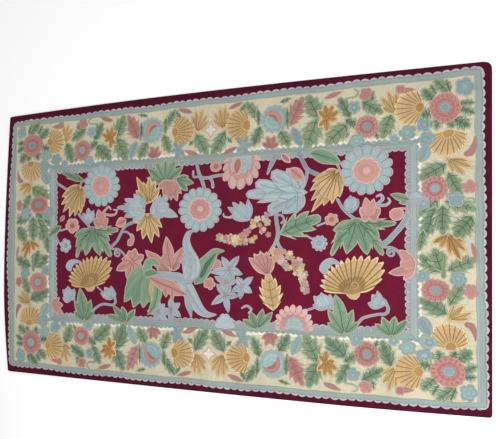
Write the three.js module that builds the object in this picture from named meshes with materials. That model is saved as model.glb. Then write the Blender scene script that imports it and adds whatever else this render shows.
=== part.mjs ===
// A flat wool rug, hand embroidered in chain stitch on a cotton cloth, lying on a floor.
// Units are millimetres, +Z is up, and +X runs along the rug's length.
// The origin is the middle of the underside.

import * as THREE from 'three';

// Overall size, from the furthest point of each edge to that of the opposite edge
const length = 1524;
const width = 914;
const thickness = 7;

// The turned hem rounds the rim of the cloth over this radius
const hemRadius = 2.4;
const hemSegments = 4;

// How many straight steps follow each bowed edge
const longEdgeSteps = 28;
const endSteps = 20;
const cornerSteps = 5;

// How far each edge bows out past its two corners, and how far along the edge the bow peaks.
// The edges follow each other anticlockwise, seen from above, and each starts at its first corner.
const edges = {
  front: { bow: 6, peak: 0.72, steps: longEdgeSteps },
  right: { bow: 0, peak: 0.5, steps: endSteps },
  back: { bow: 9, peak: 0.58, steps: longEdgeSteps },
  left: { bow: 21, peak: 0.64, steps: endSteps },
};

// The corners lie inside the overall size by the bow of the edges beside them.
// Each is where its edge starts, and its radius is how far the cloth is rounded there.
const corners = {
  front: { x: -length / 2 + edges.left.bow, y: -width / 2 + edges.front.bow, radius: 7 },
  right: { x: length / 2 - edges.right.bow, y: -width / 2 + edges.front.bow, radius: 9 },
  back: { x: length / 2 - edges.right.bow, y: width / 2 - edges.back.bow, radius: 22 },
  left: { x: -length / 2 + edges.left.bow, y: width / 2 - edges.back.bow, radius: 8 },
};

const order = ['front', 'right', 'back', 'left'];

// The edge that follows an edge, anticlockwise
function nextEdge(name) {
  return order[(order.indexOf(name) + 1) % order.length];
}

// The straight line from an edge's first corner to its last
function edgeLine(name) {
  const start = corners[name];
  const end = corners[nextEdge(name)];
  return new THREE.Vector2(end.x - start.x, end.y - start.y);
}

// The point at a share t of the way along an edge, pushed out by the edge's bow
function edgePoint(name, t) {
  const { bow, peak } = edges[name];
  const phase = t < peak ? t / peak / 2 : 1 - (1 - t) / (1 - peak) / 2;
  const along = edgeLine(name);
  const outward = new THREE.Vector2(along.y, -along.x).normalize();
  return new THREE.Vector2(corners[name].x, corners[name].y)
    .addScaledVector(along, t)
    .addScaledVector(outward, bow * Math.sin(Math.PI * phase));
}

// The points of one edge between the rounded corners at its two ends
function edgePoints(name) {
  const span = edgeLine(name).length();
  const first = corners[name].radius / span;
  const last = 1 - corners[nextEdge(name)].radius / span;
  const { steps } = edges[name];
  return Array.from({ length: steps + 1 }, (_, step) =>
    edgePoint(name, first + ((last - first) * step) / steps));
}

// The points of the rounded corner between an edge and the next one
function cornerPoints(name) {
  const corner = corners[nextEdge(name)];
  const from = edgePoints(name).at(-1);
  const to = edgePoints(nextEdge(name))[0];
  const curve = new THREE.QuadraticBezierCurve(from, new THREE.Vector2(corner.x, corner.y), to);
  return curve.getPoints(cornerSteps).slice(1, -1);
}

// The outline of the rug: four bowed edges joined by rounded corners
function rugOutline() {
  return new THREE.Shape(order.flatMap((name) => [...edgePoints(name), ...cornerPoints(name)]));
}

// The rug is one thickness of cloth and stitching, flat above and below, with a rounded rim
function rugGeometry() {
  const geometry = new THREE.ExtrudeGeometry(rugOutline(), {
    depth: thickness - 2 * hemRadius,
    bevelEnabled: true,
    bevelThickness: hemRadius,
    bevelSize: hemRadius,
    bevelOffset: -hemRadius,
    bevelSegments: hemSegments,
  });
  geometry.translate(0, 0, hemRadius);
  return geometry;
}

const crimsonWool = new THREE.MeshStandardMaterial({
  name: 'crimson wool',
  color: 0x6f1a30,
  roughness: 0.95,
  metalness: 0,
});

const rug = new THREE.Mesh(rugGeometry(), crimsonWool);
rug.name = 'rug';

const model = new THREE.Group();
model.add(rug);

export default model;
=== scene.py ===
"""A flat wool rug, hand embroidered in rows of chain stitch.

A crimson field of vines, flowers, shells and one long-tailed bird lies inside a cream flower
border, between two grey-blue guard bands with scalloped edges, and a plum hem goes round it all.
The pattern is planned in millimetres from the rug's middle, x along its length and y across it,
as a maker draws it on the cloth. Patches are laid one over another like that drawing, and each
piece of stitching then fills only what is left in sight of it, so no yarn covers another.
Meshes are in metres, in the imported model's own frame.
"""

from __future__ import annotations

import logging
import math
import random
from collections import defaultdict
from dataclasses import dataclass, field
from enum import Enum
from typing import Iterable, NamedTuple, Sequence

import bmesh
import bpy
import numpy as np
from mathutils import Matrix, Vector
from mathutils.geometry import convex_hull_2d, delaunay_2d_cdt


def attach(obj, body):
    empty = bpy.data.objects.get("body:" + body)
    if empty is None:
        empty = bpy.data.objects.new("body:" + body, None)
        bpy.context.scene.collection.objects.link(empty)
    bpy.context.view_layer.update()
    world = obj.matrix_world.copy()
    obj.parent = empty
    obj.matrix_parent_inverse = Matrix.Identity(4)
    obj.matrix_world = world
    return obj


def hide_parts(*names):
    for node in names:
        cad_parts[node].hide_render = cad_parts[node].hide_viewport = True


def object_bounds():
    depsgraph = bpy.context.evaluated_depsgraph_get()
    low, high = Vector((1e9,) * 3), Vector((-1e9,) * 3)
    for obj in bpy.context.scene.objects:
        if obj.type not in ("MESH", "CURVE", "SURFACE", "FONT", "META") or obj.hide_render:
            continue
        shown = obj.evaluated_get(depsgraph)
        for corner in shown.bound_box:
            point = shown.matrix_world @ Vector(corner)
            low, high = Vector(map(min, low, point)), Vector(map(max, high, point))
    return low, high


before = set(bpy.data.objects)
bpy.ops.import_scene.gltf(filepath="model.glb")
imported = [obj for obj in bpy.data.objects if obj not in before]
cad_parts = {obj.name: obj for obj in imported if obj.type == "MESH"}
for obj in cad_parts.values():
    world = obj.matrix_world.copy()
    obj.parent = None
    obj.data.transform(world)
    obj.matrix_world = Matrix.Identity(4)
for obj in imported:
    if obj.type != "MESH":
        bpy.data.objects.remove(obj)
CAD_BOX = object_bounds()

log = logging.getLogger("rug")

MM = 0.001
Point = tuple[float, float]
Colour = tuple[float, float, float]

# The rows of chain stitch, and the cloth under them
ROW = 3.5 * MM
STITCH = 4.6 * MM
CLOTH_TOP = 6.2 * MM
PILE_TOP = 7.0 * MM
PILE_RIM = 6.45 * MM
PILE_ROOT = 5.6 * MM

# The coils of a worked ground, the depth of a stitch in bump, and how far the cloth swells by it
COIL_SIZE = 42 * MM
RELIEF = 0.5 * MM
SWELL = 2.0

# How light the wool is, and how much its stitch, patch, row, clouds and flecks change that
MEAN_LIGHT = 0.68
# The stitch's share is painted shade: the low parts of each stitch and the grooves between rows are
# darker
STITCH_PAINTED_SHADE = 0.14
PATCH_LIGHT = 0.12
ROW_LIGHT = 0.16
CLOUD_LIGHT = 0.24
FLECK_LIGHT = 0.3

# How much lighter each row of a motif is than the one inside it, up to a most, and how much
# darker its middle row is than the rest of the wool
ROW_GAIN = 0.02
MOST_GAIN = 0.12
MIDDLE_LOSS = 0.05

# How far a stitch leans across its row, and how deep it sinks where it links to the next
STITCH_LEAN = 0.45
LINK_DEPTH = 0.45

# How far a yarn drifts into its second dye everywhere, in clouds, by its patch and by its row
MEAN_DRIFT = 0.16
CLOUD_DRIFT = 2.6
PATCH_DRIFT = 0.4
ROW_DRIFT = 0.3

# A dye at its darkest and at its lightest, as shares of its colour
DARKEST = 0.2
LIGHTEST = 1.02

# How far the cloth's sides bow out past its corners, so that the pattern is drawn in by as much
LEFT_BOW = 21.0
BACK_BOW = 9.0
FRONT_BOW = 6.0

# How far hand-drawn lines sway and tremble, and how the ends past the field are drawn out
SWAY = 1.5
TREMBLE = 0.6
END_START = 596.0
END_LENGTH = 140.0
LEFT_STRETCH = -11.0
RIGHT_STRETCH = 0.024

# The inner guard's outer edge and the field's edge, as half sizes from the middle
INNER_HALF = (584.0, 266.0)
FIELD_HALF = (562.0, 244.0)


class Slot(Enum):
    """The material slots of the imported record."""

    CRIMSON = "crimson_wool"
    CREAM = "cream_wool"
    GREY_BLUE = "grey_blue_wool"
    SKY = "sky_wool"
    ROSE = "rose_wool"
    GOLD = "gold_wool"
    GREEN = "green_wool"
    CLOTH = "cotton_cloth"


class Part(Enum):
    """The sub-assemblies of stitching, each made of one piece for every yarn in it."""

    HEM = "hem"
    OUTER_GUARD = "outer_guard"
    INNER_GUARD = "inner_guard"
    BORDER = "border"
    BORDER_FLOWERS = "border_flowers"
    BORDER_LEAVES = "border_leaves"
    FIELD = "field"
    VINES = "vines"
    LEAVES = "leaves"
    FLOWERS = "flowers"
    SHELLS = "shells"
    BIRD = "bird"


def linear(code: str) -> Colour:
    """The linear colour of a dye code, two hexadecimal digits each for red, green and blue."""
    parts = [int(code[i:i + 2], 16) / 255 for i in (0, 2, 4)]
    return tuple(c / 12.92 if c <= 0.04045 else ((c + 0.055) / 1.055) ** 2.4 for c in parts)


# Shader maths


class Term:
    """A number in a material, wrapped so that sums of numbers read as ordinary Python."""

    def __init__(self, board: Board, socket: bpy.types.NodeSocket) -> None:
        """Wraps one output socket."""
        self.board = board
        self.socket = socket

    def __add__(self, other: Term | float) -> Term:
        """The sum of two terms."""
        return self.board.maths("ADD", self, other)

    def __sub__(self, other: Term | float) -> Term:
        """This term less another."""
        return self.board.maths("SUBTRACT", self, other)

    def __rsub__(self, other: float) -> Term:
        """A number less this term."""
        return self.board.maths("SUBTRACT", other, self)

    def __mul__(self, other: Term | float) -> Term:
        """The product of two terms."""
        return self.board.maths("MULTIPLY", self, other)

    def __truediv__(self, other: Term | float) -> Term:
        """This term over another."""
        return self.board.maths("DIVIDE", self, other)

    def __abs__(self) -> Term:
        """This term without its sign."""
        return self.board.maths("ABSOLUTE", self)

    __radd__ = __add__
    __rmul__ = __mul__


@dataclass
class Board:
    """The node board of one material.

    Attributes:
        name: The material's name.
    """

    name: str

    def __post_init__(self) -> None:
        """Makes the material and finds its shader."""
        self.material = bpy.data.materials.new(self.name)
        self.material.use_nodes = True
        self.tree = self.material.node_tree
        self.shader = self.tree.nodes["Principled BSDF"]

    def feed(self, socket: bpy.types.NodeSocket, value: object) -> None:
        """Links a term or a socket to an input, or sets the input to a plain value.

        Args:
            socket: The input.
            value: The term, the output socket or the plain value.
        """
        if isinstance(value, Term):
            value = value.socket
        if isinstance(value, bpy.types.NodeSocket):
            self.tree.links.new(value, socket)
        else:
            socket.default_value = value

    def node(self, kind: str, settings: dict | None = None,
             inputs: dict | None = None) -> bpy.types.Node:
        """Adds one node.

        Args:
            kind: The node's type, without its ShaderNode prefix.
            settings: The node's own settings, which are set first.
            inputs: Values or links, by the name or number of their socket.

        Returns:
            The node.
        """
        node = self.tree.nodes.new("ShaderNode" + kind)
        for key, value in (settings or {}).items():
            setattr(node, key, value)
        for key, value in (inputs or {}).items():
            self.feed(node.inputs[key], value)
        return node

    def maths(self, operation: str, *values: Term | float) -> Term:
        """The result of a Math node on one or more values."""
        node = self.node("Math", {"operation": operation}, dict(enumerate(values)))
        return Term(self, node.outputs[0])

    def split(self, socket: bpy.types.NodeSocket) -> tuple[Term, Term, Term]:
        """The three numbers of a vector."""
        node = self.node("SeparateXYZ", inputs={0: socket})
        return tuple(Term(self, output) for output in node.outputs)

    def place(self) -> bpy.types.NodeSocket:
        """Where a point lies, in the rug's own frame."""
        return self.node("TexCoord").outputs["Object"]

    def attribute(self, name: str) -> bpy.types.Node:
        """The node that reads a named attribute of the mesh."""
        return self.node("Attribute", {"attribute_name": name})

    def noise(self, scale: float, detail: float = 2.0) -> Term:
        """A cloudy number about 0.5, with features of about 1 / scale metres."""
        inputs = {"Vector": self.place(), "Scale": scale, "Detail": detail}
        return Term(self, self.node("TexNoise", inputs=inputs).outputs[0])

    def blend(self, low: Colour | bpy.types.NodeSocket, high: Colour | bpy.types.NodeSocket,
              factor: Term) -> bpy.types.NodeSocket:
        """The colour between two others.

        Args:
            low: The colour where the factor is 0.
            high: The colour where the factor is 1.
            factor: How far from the low colour to the high one.

        Returns:
            The colour's socket.
        """
        node = self.node("Mix", {"data_type": "RGBA"}, {0: factor})
        for number, colour in ((6, low), (7, high)):
            linked = isinstance(colour, bpy.types.NodeSocket)
            self.feed(node.inputs[number], colour if linked else (*colour, 1))
        return node.outputs[2]

    def finish(self, colour: bpy.types.NodeSocket, height: Term, depth: float) -> None:
        """Gives the shader its colour and its relief.

        Args:
            colour: The colour's socket.
            height: The relief, from 0 to about 1.
            depth: The relief's depth in metres.
        """
        self.feed(self.shader.inputs["Base Color"], colour)
        bump = self.node("Bump", inputs={"Strength": 1.0, "Distance": depth, "Height": height})
        self.feed(self.shader.inputs["Normal"], bump.outputs[0])


# Finishes


@dataclass(frozen=True)
class Wool:
    """The finish of one dyed wool yarn, laid in rows of chain stitch.

    Attributes:
        code: The dye as a hexadecimal colour.
        slot: The record's slot that the yarn belongs to; not used.
        heather: A second dye that the first one drifts into here and there.
        shadow: How far painted shade darkens the yarn in the sunk rim at the edge of a patch, from
            0 to 1.
        coiled: Whether the yarn is a ground, worked in small coils.
    """

    code: str
    slot: Slot
    heather: str = ""
    shadow: float = 0.25
    coiled: bool = False

    def rows(self, board: Board) -> tuple[Term, Term]:
        """Where a point lies among the rows of stitches.

        Args:
            board: The material's node board.

        Returns:
            The row's number, and the stitch's number along it.
        """
        x, y, _ = board.split(board.place())
        if self.coiled:
            cells = {"Vector": board.place(), "Scale": 1 / COIL_SIZE}
            settings = {"voronoi_dimensions": "2D"}
            centre = board.node("TexVoronoi", settings, cells).outputs["Position"]
            centre_x, centre_y, _ = board.split(centre)
            along = x - centre_x
            across = y - centre_y
            clamped = 0.0
        else:
            centre_x, centre_y, angle = board.split(board.attribute("lay").outputs["Vector"])
            run = Term(board, board.attribute("run").outputs["Fac"])
            cosine = board.maths("COSINE", angle)
            sine = board.maths("SINE", angle)
            raw = (x - centre_x) * cosine + (y - centre_y) * sine
            across = (y - centre_y) * cosine - (x - centre_x) * sine
            clamped = board.maths("MAXIMUM", board.maths("MINIMUM", raw, run), run * -1.0)
            along = raw - clamped
        radius = board.maths("SQRT", along * along + across * across)
        turn = board.maths("ARCTAN2", along, abs(across))
        return radius / ROW, (turn * radius + clamped) / STITCH

    def material(self, name: str) -> bpy.types.Material:
        """Makes the yarn's material.

        Args:
            name: The yarn's name.

        Returns:
            The material.
        """
        board = Board(name + "_wool")
        row, walk = self.rows(board)
        number = board.maths("FLOOR", row)
        side = abs(board.maths("FRACT", row) - 0.5) * 2.0
        chance = board.node("TexWhiteNoise", {"noise_dimensions": "1D"}, {"W": number})
        luck = Term(board, chance.outputs["Value"])
        link = abs(board.maths("FRACT", walk + side * STITCH_LEAN + luck) - 0.5) * 2.0
        ridge = 1.0 - side * side
        stitch = ridge * (1.0 - link * link * LINK_DEPTH)
        rim = Term(board, board.attribute("rim").outputs["Fac"])
        shade = Term(board, board.attribute("shade").outputs["Fac"])
        cloud = board.noise(9.0) - 0.5
        fleck = board.noise(900.0, 1.0) - 0.5
        # The stitch's relief darkens its low parts and the grooves between rows, as painted shade
        light = MEAN_LIGHT + stitch * STITCH_PAINTED_SHADE + shade * PATCH_LIGHT
        light = light + (luck - 0.5) * ROW_LIGHT + cloud * CLOUD_LIGHT
        # The sunk rim round each patch and each sunk vein is darkened, as painted shade
        light = light + fleck * FLECK_LIGHT - rim * self.shadow
        if not self.coiled:
            light = light + board.maths("MINIMUM", row * ROW_GAIN, MOST_GAIN) - MIDDLE_LOSS
        dyes = [linear(self.code), linear(self.heather or self.code)]
        lows = [tuple(c * DARKEST for c in dye) for dye in dyes]
        highs = [tuple(min(c * LIGHTEST, 1.0) for c in dye) for dye in dyes]
        drift = (board.noise(26.0, 1.0) - 0.5) * CLOUD_DRIFT + shade * PATCH_DRIFT
        drift = drift + luck * ROW_DRIFT + MEAN_DRIFT
        drift = board.maths("MINIMUM", board.maths("MAXIMUM", drift, 0.0), 1.0)
        colour = board.blend(board.blend(*lows, drift), board.blend(*highs, drift), light)
        board.finish(colour, stitch + board.noise(5.0, 0.0) * SWELL, RELIEF)
        board.shader.inputs["Roughness"].default_value = 0.92
        board.shader.inputs["Specular IOR Level"].default_value = 0.08
        return board.material


@dataclass(frozen=True)
class Cotton:
    """The finish of plain unbleached cotton cloth, in an even weave.

    Attributes:
        code: The cloth's hexadecimal colour.
        pitch: The distance between two threads, in metres.
    """

    code: str = "c8bca0"
    pitch: float = 1.1 * MM

    def material(self) -> bpy.types.Material:
        """Makes the cloth's material.

        Returns:
            The material.
        """
        board = Board("cotton_cloth")
        x, y, _ = board.split(board.place())
        turns = 2 * math.pi / self.pitch
        weave = board.maths("SINE", x * turns) * board.maths("SINE", y * turns) * 0.5 + 0.5
        # Painted shade: the gaps between the raised threads of the weave are darker than the
        # threads
        light = 0.5 + weave * 0.2 + (board.noise(12.0) - 0.5) * 0.5
        dye = linear(self.code)
        dark = tuple(c * 0.6 for c in dye)
        board.finish(board.blend(dark, dye, light), weave, 0.2 * MM)
        board.shader.inputs["Roughness"].default_value = 0.95
        return board.material


class Yarn(Enum):
    """The dyed yarns of the rug."""

    PLUM = Wool("4a1226", Slot.CRIMSON, "5c1426", 0.2)
    CRIMSON = Wool("68162a", Slot.CRIMSON, "5e142e", 0.3, True)
    CREAM = Wool("cbc2a6", Slot.CREAM, "bfbba4", 0.22, True)
    IVORY = Wool("e0dbc8", Slot.CREAM, "d3d2c0")
    MIST = Wool("98a8a1", Slot.GREY_BLUE, "999fa3")
    LILAC = Wool("b4a8b2", Slot.GREY_BLUE, "a9adb1")
    SKY = Wool("a2b4b3", Slot.SKY, "a3abb8")
    TEAL = Wool("8ca9a2", Slot.SKY, "93a9aa")
    DUSK = Wool("8a9ea2", Slot.SKY, "8aa39d")
    ROSE = Wool("bd8d87", Slot.ROSE, "b88a7c")
    BLUSH = Wool("cfaba0", Slot.ROSE, "c5a5a6")
    MADDER = Wool("aa6f68", Slot.ROSE, "a87262")
    DUSTY = Wool("b07f78", Slot.ROSE, "a87a7a")
    GOLD = Wool("c0a271", Slot.GOLD, "ba9c78")
    STRAW = Wool("d4b688", Slot.GOLD, "d2bc96")
    OCHRE = Wool("97733f", Slot.GOLD, "8f7040")
    TAN = Wool("a1855a", Slot.GOLD, "987d50")
    AMBER = Wool("b18b55", Slot.GOLD, "b58256")
    GREEN = Wool("74937b", Slot.GREEN, "7f9579")
    SAGE = Wool("a6ab92", Slot.GREEN, "a39f8c")
    FOREST = Wool("567360", Slot.GREEN, "607055")
    MOSS = Wool("768c72", Slot.GREEN, "808968")
    FERN = Wool("9cab90", Slot.GREEN, "979f88")


class Tints(NamedTuple):
    """The yarns of one motif: its edge row, its fill and its veins."""

    edge: Yarn
    fill: Yarn
    vein: Yarn


BLUE = Tints(Yarn.LILAC, Yarn.SKY, Yarn.LILAC)
GREEN = Tints(Yarn.SAGE, Yarn.GREEN, Yarn.FOREST)
GOLD = Tints(Yarn.STRAW, Yarn.GOLD, Yarn.OCHRE)
ROSE = Tints(Yarn.BLUSH, Yarn.ROSE, Yarn.MADDER)
STEM = Tints(Yarn.LILAC, Yarn.DUSK, Yarn.LILAC)
SOFT_BLUE = Tints(Yarn.LILAC, Yarn.SKY, Yarn.TEAL)
TEAL_BLUE = Tints(Yarn.LILAC, Yarn.TEAL, Yarn.DUSK)
STAR = Tints(Yarn.LILAC, Yarn.SKY, Yarn.DUSK)
WING = Tints(Yarn.SAGE, Yarn.GREEN, Yarn.SAGE)
PALE_ROSE = Tints(Yarn.BLUSH, Yarn.BLUSH, Yarn.ROSE)
AMBER = Tints(Yarn.STRAW, Yarn.AMBER, Yarn.OCHRE)
SOFT_GOLD = Tints(Yarn.STRAW, Yarn.GOLD, Yarn.TAN)
BORDER_GREEN = Tints(Yarn.FERN, Yarn.MOSS, Yarn.FOREST)
BORDER_ROSE = Tints(Yarn.ROSE, Yarn.DUSTY, Yarn.MADDER)
BORDER_BLUE = Tints(Yarn.MIST, Yarn.DUSK, Yarn.MIST)


# Outlines


def along(points: Sequence[Point], step: float) -> np.ndarray:
    """A smooth curve through some points.

    Args:
        points: The points, which may carry more numbers than x and y, such as a width.
        step: The distance between two points of the curve, in millimetres.

    Returns:
        The points of the curve, one a row.
    """
    knots = np.array(points, float)
    knots = np.vstack([2 * knots[0] - knots[1], knots, 2 * knots[-1] - knots[-2]])
    curve = []
    for before, start, end, after in zip(knots, knots[1:], knots[2:], knots[3:]):
        count = max(1, round(float(np.linalg.norm((end - start)[:2])) / step))
        for t in np.arange(count) / count:
            bend = 2 * before - 5 * start + 4 * end - after
            twist = 3 * start - before - 3 * end + after
            curve.append(0.5 * (2 * start + (end - before) * t + bend * t ** 2 + twist * t ** 3))
    curve.append(knots[-2])
    return np.array(curve)


def anticlockwise(outline: np.ndarray) -> np.ndarray:
    """The same outline, turned so that it runs anticlockwise."""
    x, y = outline.T
    area = np.sum(x * np.roll(y, -1) - np.roll(x, -1) * y)
    return outline if area > 0 else outline[::-1]


def eased(outline: np.ndarray, tolerance: float = 0.25) -> np.ndarray:
    """Drops the points of an outline that hardly turn it.

    Args:
        outline: The outline's points.
        tolerance: How far from the line between its neighbours a dropped point may lie.

    Returns:
        The points that are left.
    """
    for _ in range(3):
        before = np.roll(outline, 1, axis=0)
        chord = np.roll(outline, -1, axis=0) - before
        step = outline - before
        offset = np.abs(chord[:, 0] * step[:, 1] - chord[:, 1] * step[:, 0])
        drop = offset < tolerance * np.maximum(np.linalg.norm(chord, axis=1), 1e-9)
        drop[::2] = False
        if len(outline) - drop.sum() < 5:
            break
        outline = outline[~drop]
    return outline


def shrink(outline: np.ndarray, inset: float) -> np.ndarray:
    """An outline drawn in from another by one distance all round.

    Args:
        outline: The anticlockwise outline.
        inset: The distance in millimetres.

    Returns:
        The inner outline, which is empty where there is no room for it.
    """
    ahead = np.roll(outline, -1, axis=0) - outline
    span = np.linalg.norm(ahead, axis=1, keepdims=True)
    keep = span[:, 0] > 1e-6
    outline, ahead, span = outline[keep], ahead[keep], span[keep]
    normal = np.stack([-ahead[:, 1], ahead[:, 0]], 1) / span
    other = np.roll(normal, 1, axis=0)
    spread = np.maximum(1 + np.sum(normal * other, 1, keepdims=True), 0.3)
    inner = outline + inset * (normal + other) / spread
    offset = inner[:, None, :] - outline[None, :, :]
    share = np.sum(offset * ahead[None], 2) / np.sum(ahead * ahead, 1)[None]
    nearest = offset - np.clip(share, 0, 1)[:, :, None] * ahead[None]
    clear = np.linalg.norm(nearest, axis=2).min(1) > inset * 0.93
    inner = inner[clear & covers(outline, inner)]
    return inner if len(inner) > 3 else np.zeros((0, 2))


def covers(outline: np.ndarray, points: np.ndarray) -> np.ndarray:
    """Which points lie inside an outline.

    Args:
        outline: The outline's corners, one a row.
        points: The points, one a row.

    Returns:
        True for each point inside.
    """
    x, y = points[:, :1], points[:, 1:]
    x0, y0 = outline.T
    x1, y1 = np.roll(outline, -1, axis=0).T
    side = (x1 - x0) * (y - y0) - (x - x0) * (y1 - y0)
    up = (y0 <= y) & (y1 > y) & (side > 0)
    down = (y1 <= y) & (y0 > y) & (side < 0)
    return up.sum(1) != down.sum(1)


def turned(length: float, degrees: float) -> np.ndarray:
    """The arrow of a length that points at an angle from +x."""
    return length * np.array([math.cos(math.radians(degrees)), math.sin(math.radians(degrees))])


@dataclass(frozen=True)
class Grain:
    """How the rows of stitches run in a patch: they wrap a line, one outside another.

    Attributes:
        centre: The middle of the line.
        angle: The line's direction, in radians from +x.
        run: Half the line's length.
        path: A curve that the rows follow instead, if there is one.
    """

    centre: np.ndarray
    angle: float = 0.0
    run: float = 0.0
    path: np.ndarray | None = None

    @staticmethod
    def of(outline: np.ndarray) -> Grain:
        """The grain of a plain patch, whose rows wrap its long axis.

        Args:
            outline: The patch's outline.

        Returns:
            The grain.
        """
        centre = (outline.min(0) + outline.max(0)) / 2
        spread = outline - centre
        _, axes = np.linalg.eigh(spread.T @ spread)
        major, minor = axes[:, 1], axes[:, 0]
        run = max(np.abs(spread @ major).max() - np.abs(spread @ minor).max(), 0.0)
        return Grain(centre, math.atan2(major[1], major[0]), float(run))

    def at(self, points: np.ndarray) -> tuple[np.ndarray, np.ndarray]:
        """The grain at some points.

        Args:
            points: The points, one a row.

        Returns:
            The centre and angle for each point, three numbers a row, and the run for each.
        """
        if self.path is None:
            lay = np.tile([*self.centre, self.angle], (len(points), 1))
            return lay, np.full(len(points), self.run)
        middles = (self.path[1:] + self.path[:-1]) / 2
        steps = self.path[1:] - self.path[:-1]
        gaps = np.linalg.norm(points[:, None] - middles[None], axis=2)
        nearest = gaps.argmin(1)
        angles = np.arctan2(steps[nearest, 1], steps[nearest, 0])
        return np.column_stack([middles[nearest], angles]), np.full(len(points), 1e4)


@dataclass(frozen=True)
class Patch:
    """One patch of stitching.

    Attributes:
        outline: The patch's outline, in millimetres on the cloth.
        yarn: The yarn that fills it.
        part: The sub-assembly that it belongs to.
        grain: How its rows run.
        rim: The width of the sunk rim at its edge, or 0 where all of it lies as low.
        shade: How light this patch is against others of its yarn, from -1 to 1.
    """

    outline: np.ndarray
    yarn: Yarn
    part: Part
    grain: Grain
    rim: float
    shade: float


@dataclass
class Pattern:
    """The drawing on the cloth: patches of stitching, each laid over the ones before it.

    Attributes:
        patches: The patches so far.
        part: The sub-assembly that is being drawn.
        flip: The signs that mirror what is drawn, along x and y.
    """

    patches: list[Patch] = field(default_factory=list)
    part: Part = Part.FIELD
    flip: Point = (1, 1)

    def __post_init__(self) -> None:
        """Starts the dice that vary one patch from the next."""
        self.dice = random.Random(7)

    def on_cloth(self, points: np.ndarray) -> np.ndarray:
        """Places points of the plan on the cloth, whose corners are drawn in by its bows.

        Args:
            points: The points of the plan, one a row.

        Returns:
            The points on the cloth.
        """
        low, high = CAD_BOX
        start = np.array([low.x / MM + LEFT_BOW, low.y / MM + FRONT_BOW])
        end = np.array([high.x / MM, high.y / MM - BACK_BOW])
        plan = np.array([high.x - low.x, high.y - low.y]) / MM
        return start + (self.by_hand(points * self.flip) + plan / 2) * (end - start) / plan

    @staticmethod
    def by_hand(points: np.ndarray) -> np.ndarray:
        """Sways points of the plan, as lines drawn by hand stray, and draws out its two ends.

        Args:
            points: The points, one a row.

        Returns:
            The swayed points.
        """
        x, y = points.T
        sway_x = SWAY * np.sin(x / 31 + 2 * np.sin(y / 47)) + TREMBLE * np.sin(y / 9.3 + x / 13)
        sway_y = SWAY * np.sin(y / 29 + 2 * np.sin(x / 43)) + TREMBLE * np.sin(x / 8.7 - y / 15)
        ends = np.sin(np.pi * np.clip((np.abs(x) - END_START) / END_LENGTH, 0, 1))
        stretch = np.where(x < 0, LEFT_STRETCH, RIGHT_STRETCH * np.maximum(-y, 0)) * ends
        return np.column_stack([x + sway_x + stretch, y + sway_y])

    def lay(self, outline: np.ndarray, yarn: Yarn, rim: float = 0.9,
            grain: Grain | None = None, placed: bool = False) -> None:
        """Lays one patch.

        Args:
            outline: Its outline.
            yarn: Its yarn.
            rim: The width of its sunk rim, or 0 where all of it lies as low as a rim.
            grain: How its rows run, where that isn't round its long axis.
            placed: Whether the outline is on the cloth already.
        """
        if len(outline) < 3:
            return
        if not placed:
            outline = self.on_cloth(outline)
            if grain is not None and grain.path is not None:
                grain = Grain(grain.centre, path=self.on_cloth(grain.path))
        outline = eased(anticlockwise(outline))
        shade = self.dice.uniform(-1, 1)
        grain = grain or Grain.of(outline)
        self.patches.append(Patch(outline, yarn, self.part, grain, rim, shade))

    def embroider(self, shapes: Iterable[Shape], tints: Tints, edge: float = 4.0,
                  hearts: Iterable[tuple[Shape, Yarn]] = ()) -> None:
        """Works a motif: the edge rows of all its shapes, then their fills, then their veins.

        Args:
            shapes: The shapes that make the motif.
            tints: Its yarns.
            edge: The width of the edge row.
            hearts: Patches of other yarns between the fills and the veins.
        """
        shapes = list(shapes)
        outlines = [anticlockwise(shape.outline()) for shape in shapes]
        for shape, outline in zip(shapes, outlines):
            self.lay(outline, tints.edge, 0.7, shape.grain())
        for shape, outline in zip(shapes, outlines):
            self.lay(shrink(outline, edge), tints.fill, 0.9, shape.grain())
        for heart, yarn in hearts:
            self.lay(heart.outline(), yarn, 0.8, heart.grain())
        for shape in shapes:
            for vein in shape.veins():
                self.lay(vein.outline(), tints.vein, 0.0, vein.grain())


class Shape:
    """A shape that can be embroidered."""

    def outline(self) -> np.ndarray:
        """The shape's outline."""
        raise NotImplementedError

    def grain(self) -> Grain | None:
        """How the shape's rows run, where that isn't round its long axis."""
        return None

    def veins(self) -> list[Shape]:
        """The thin lines worked over the shape."""
        return []


@dataclass(frozen=True)
class Ribbon(Shape):
    """A curved band, such as a stem, a tail or a vein.

    Attributes:
        points: The points that its middle goes through, each with the band's width there.
        step: The distance between two corners of its outline.
        ribbed: Whether a vein runs down its middle.
    """

    points: tuple[tuple[float, float, float], ...]
    step: float = 6.0
    ribbed: bool = False

    def outline(self) -> np.ndarray:
        """The band's outline: one side, then the other side back."""
        curve = along(self.points, self.step)
        slope = np.gradient(curve[:, :2], axis=0)
        slope /= np.linalg.norm(slope, axis=1, keepdims=True)
        normal = np.stack([-slope[:, 1], slope[:, 0]], 1)
        half = np.maximum(curve[:, 2:], 0.8) / 2
        left, right = curve[:, :2] + normal * half, curve[:, :2] - normal * half
        ends = [curve[-1, :2] + slope[-1] * half[-1] * 0.8, curve[0, :2] - slope[0] * half[0] * 0.8]
        return np.vstack([left, ends[0], right[::-1], ends[1]])

    def grain(self) -> Grain:
        """Rows that follow the band."""
        curve = along(self.points, 2 * self.step)[:, :2]
        return Grain(curve[0], path=curve)

    def veins(self) -> list[Shape]:
        """A vein down the middle of a ribbed band."""
        if not self.ribbed:
            return []
        return [Ribbon(tuple((x, y, 2.2) for x, y, _ in self.points), self.step)]


def line(start: np.ndarray, end: np.ndarray, width: float, tip: float = 1.0) -> Ribbon:
    """A straight vein from one point to another, with its width at each."""
    return Ribbon(((*start, width), (*end, tip)), 1e3)


# The points of one tooth of a leaf, as shares of its length
TOOTH = np.array([0.0, 0.3, 0.65, 1.0])


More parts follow.
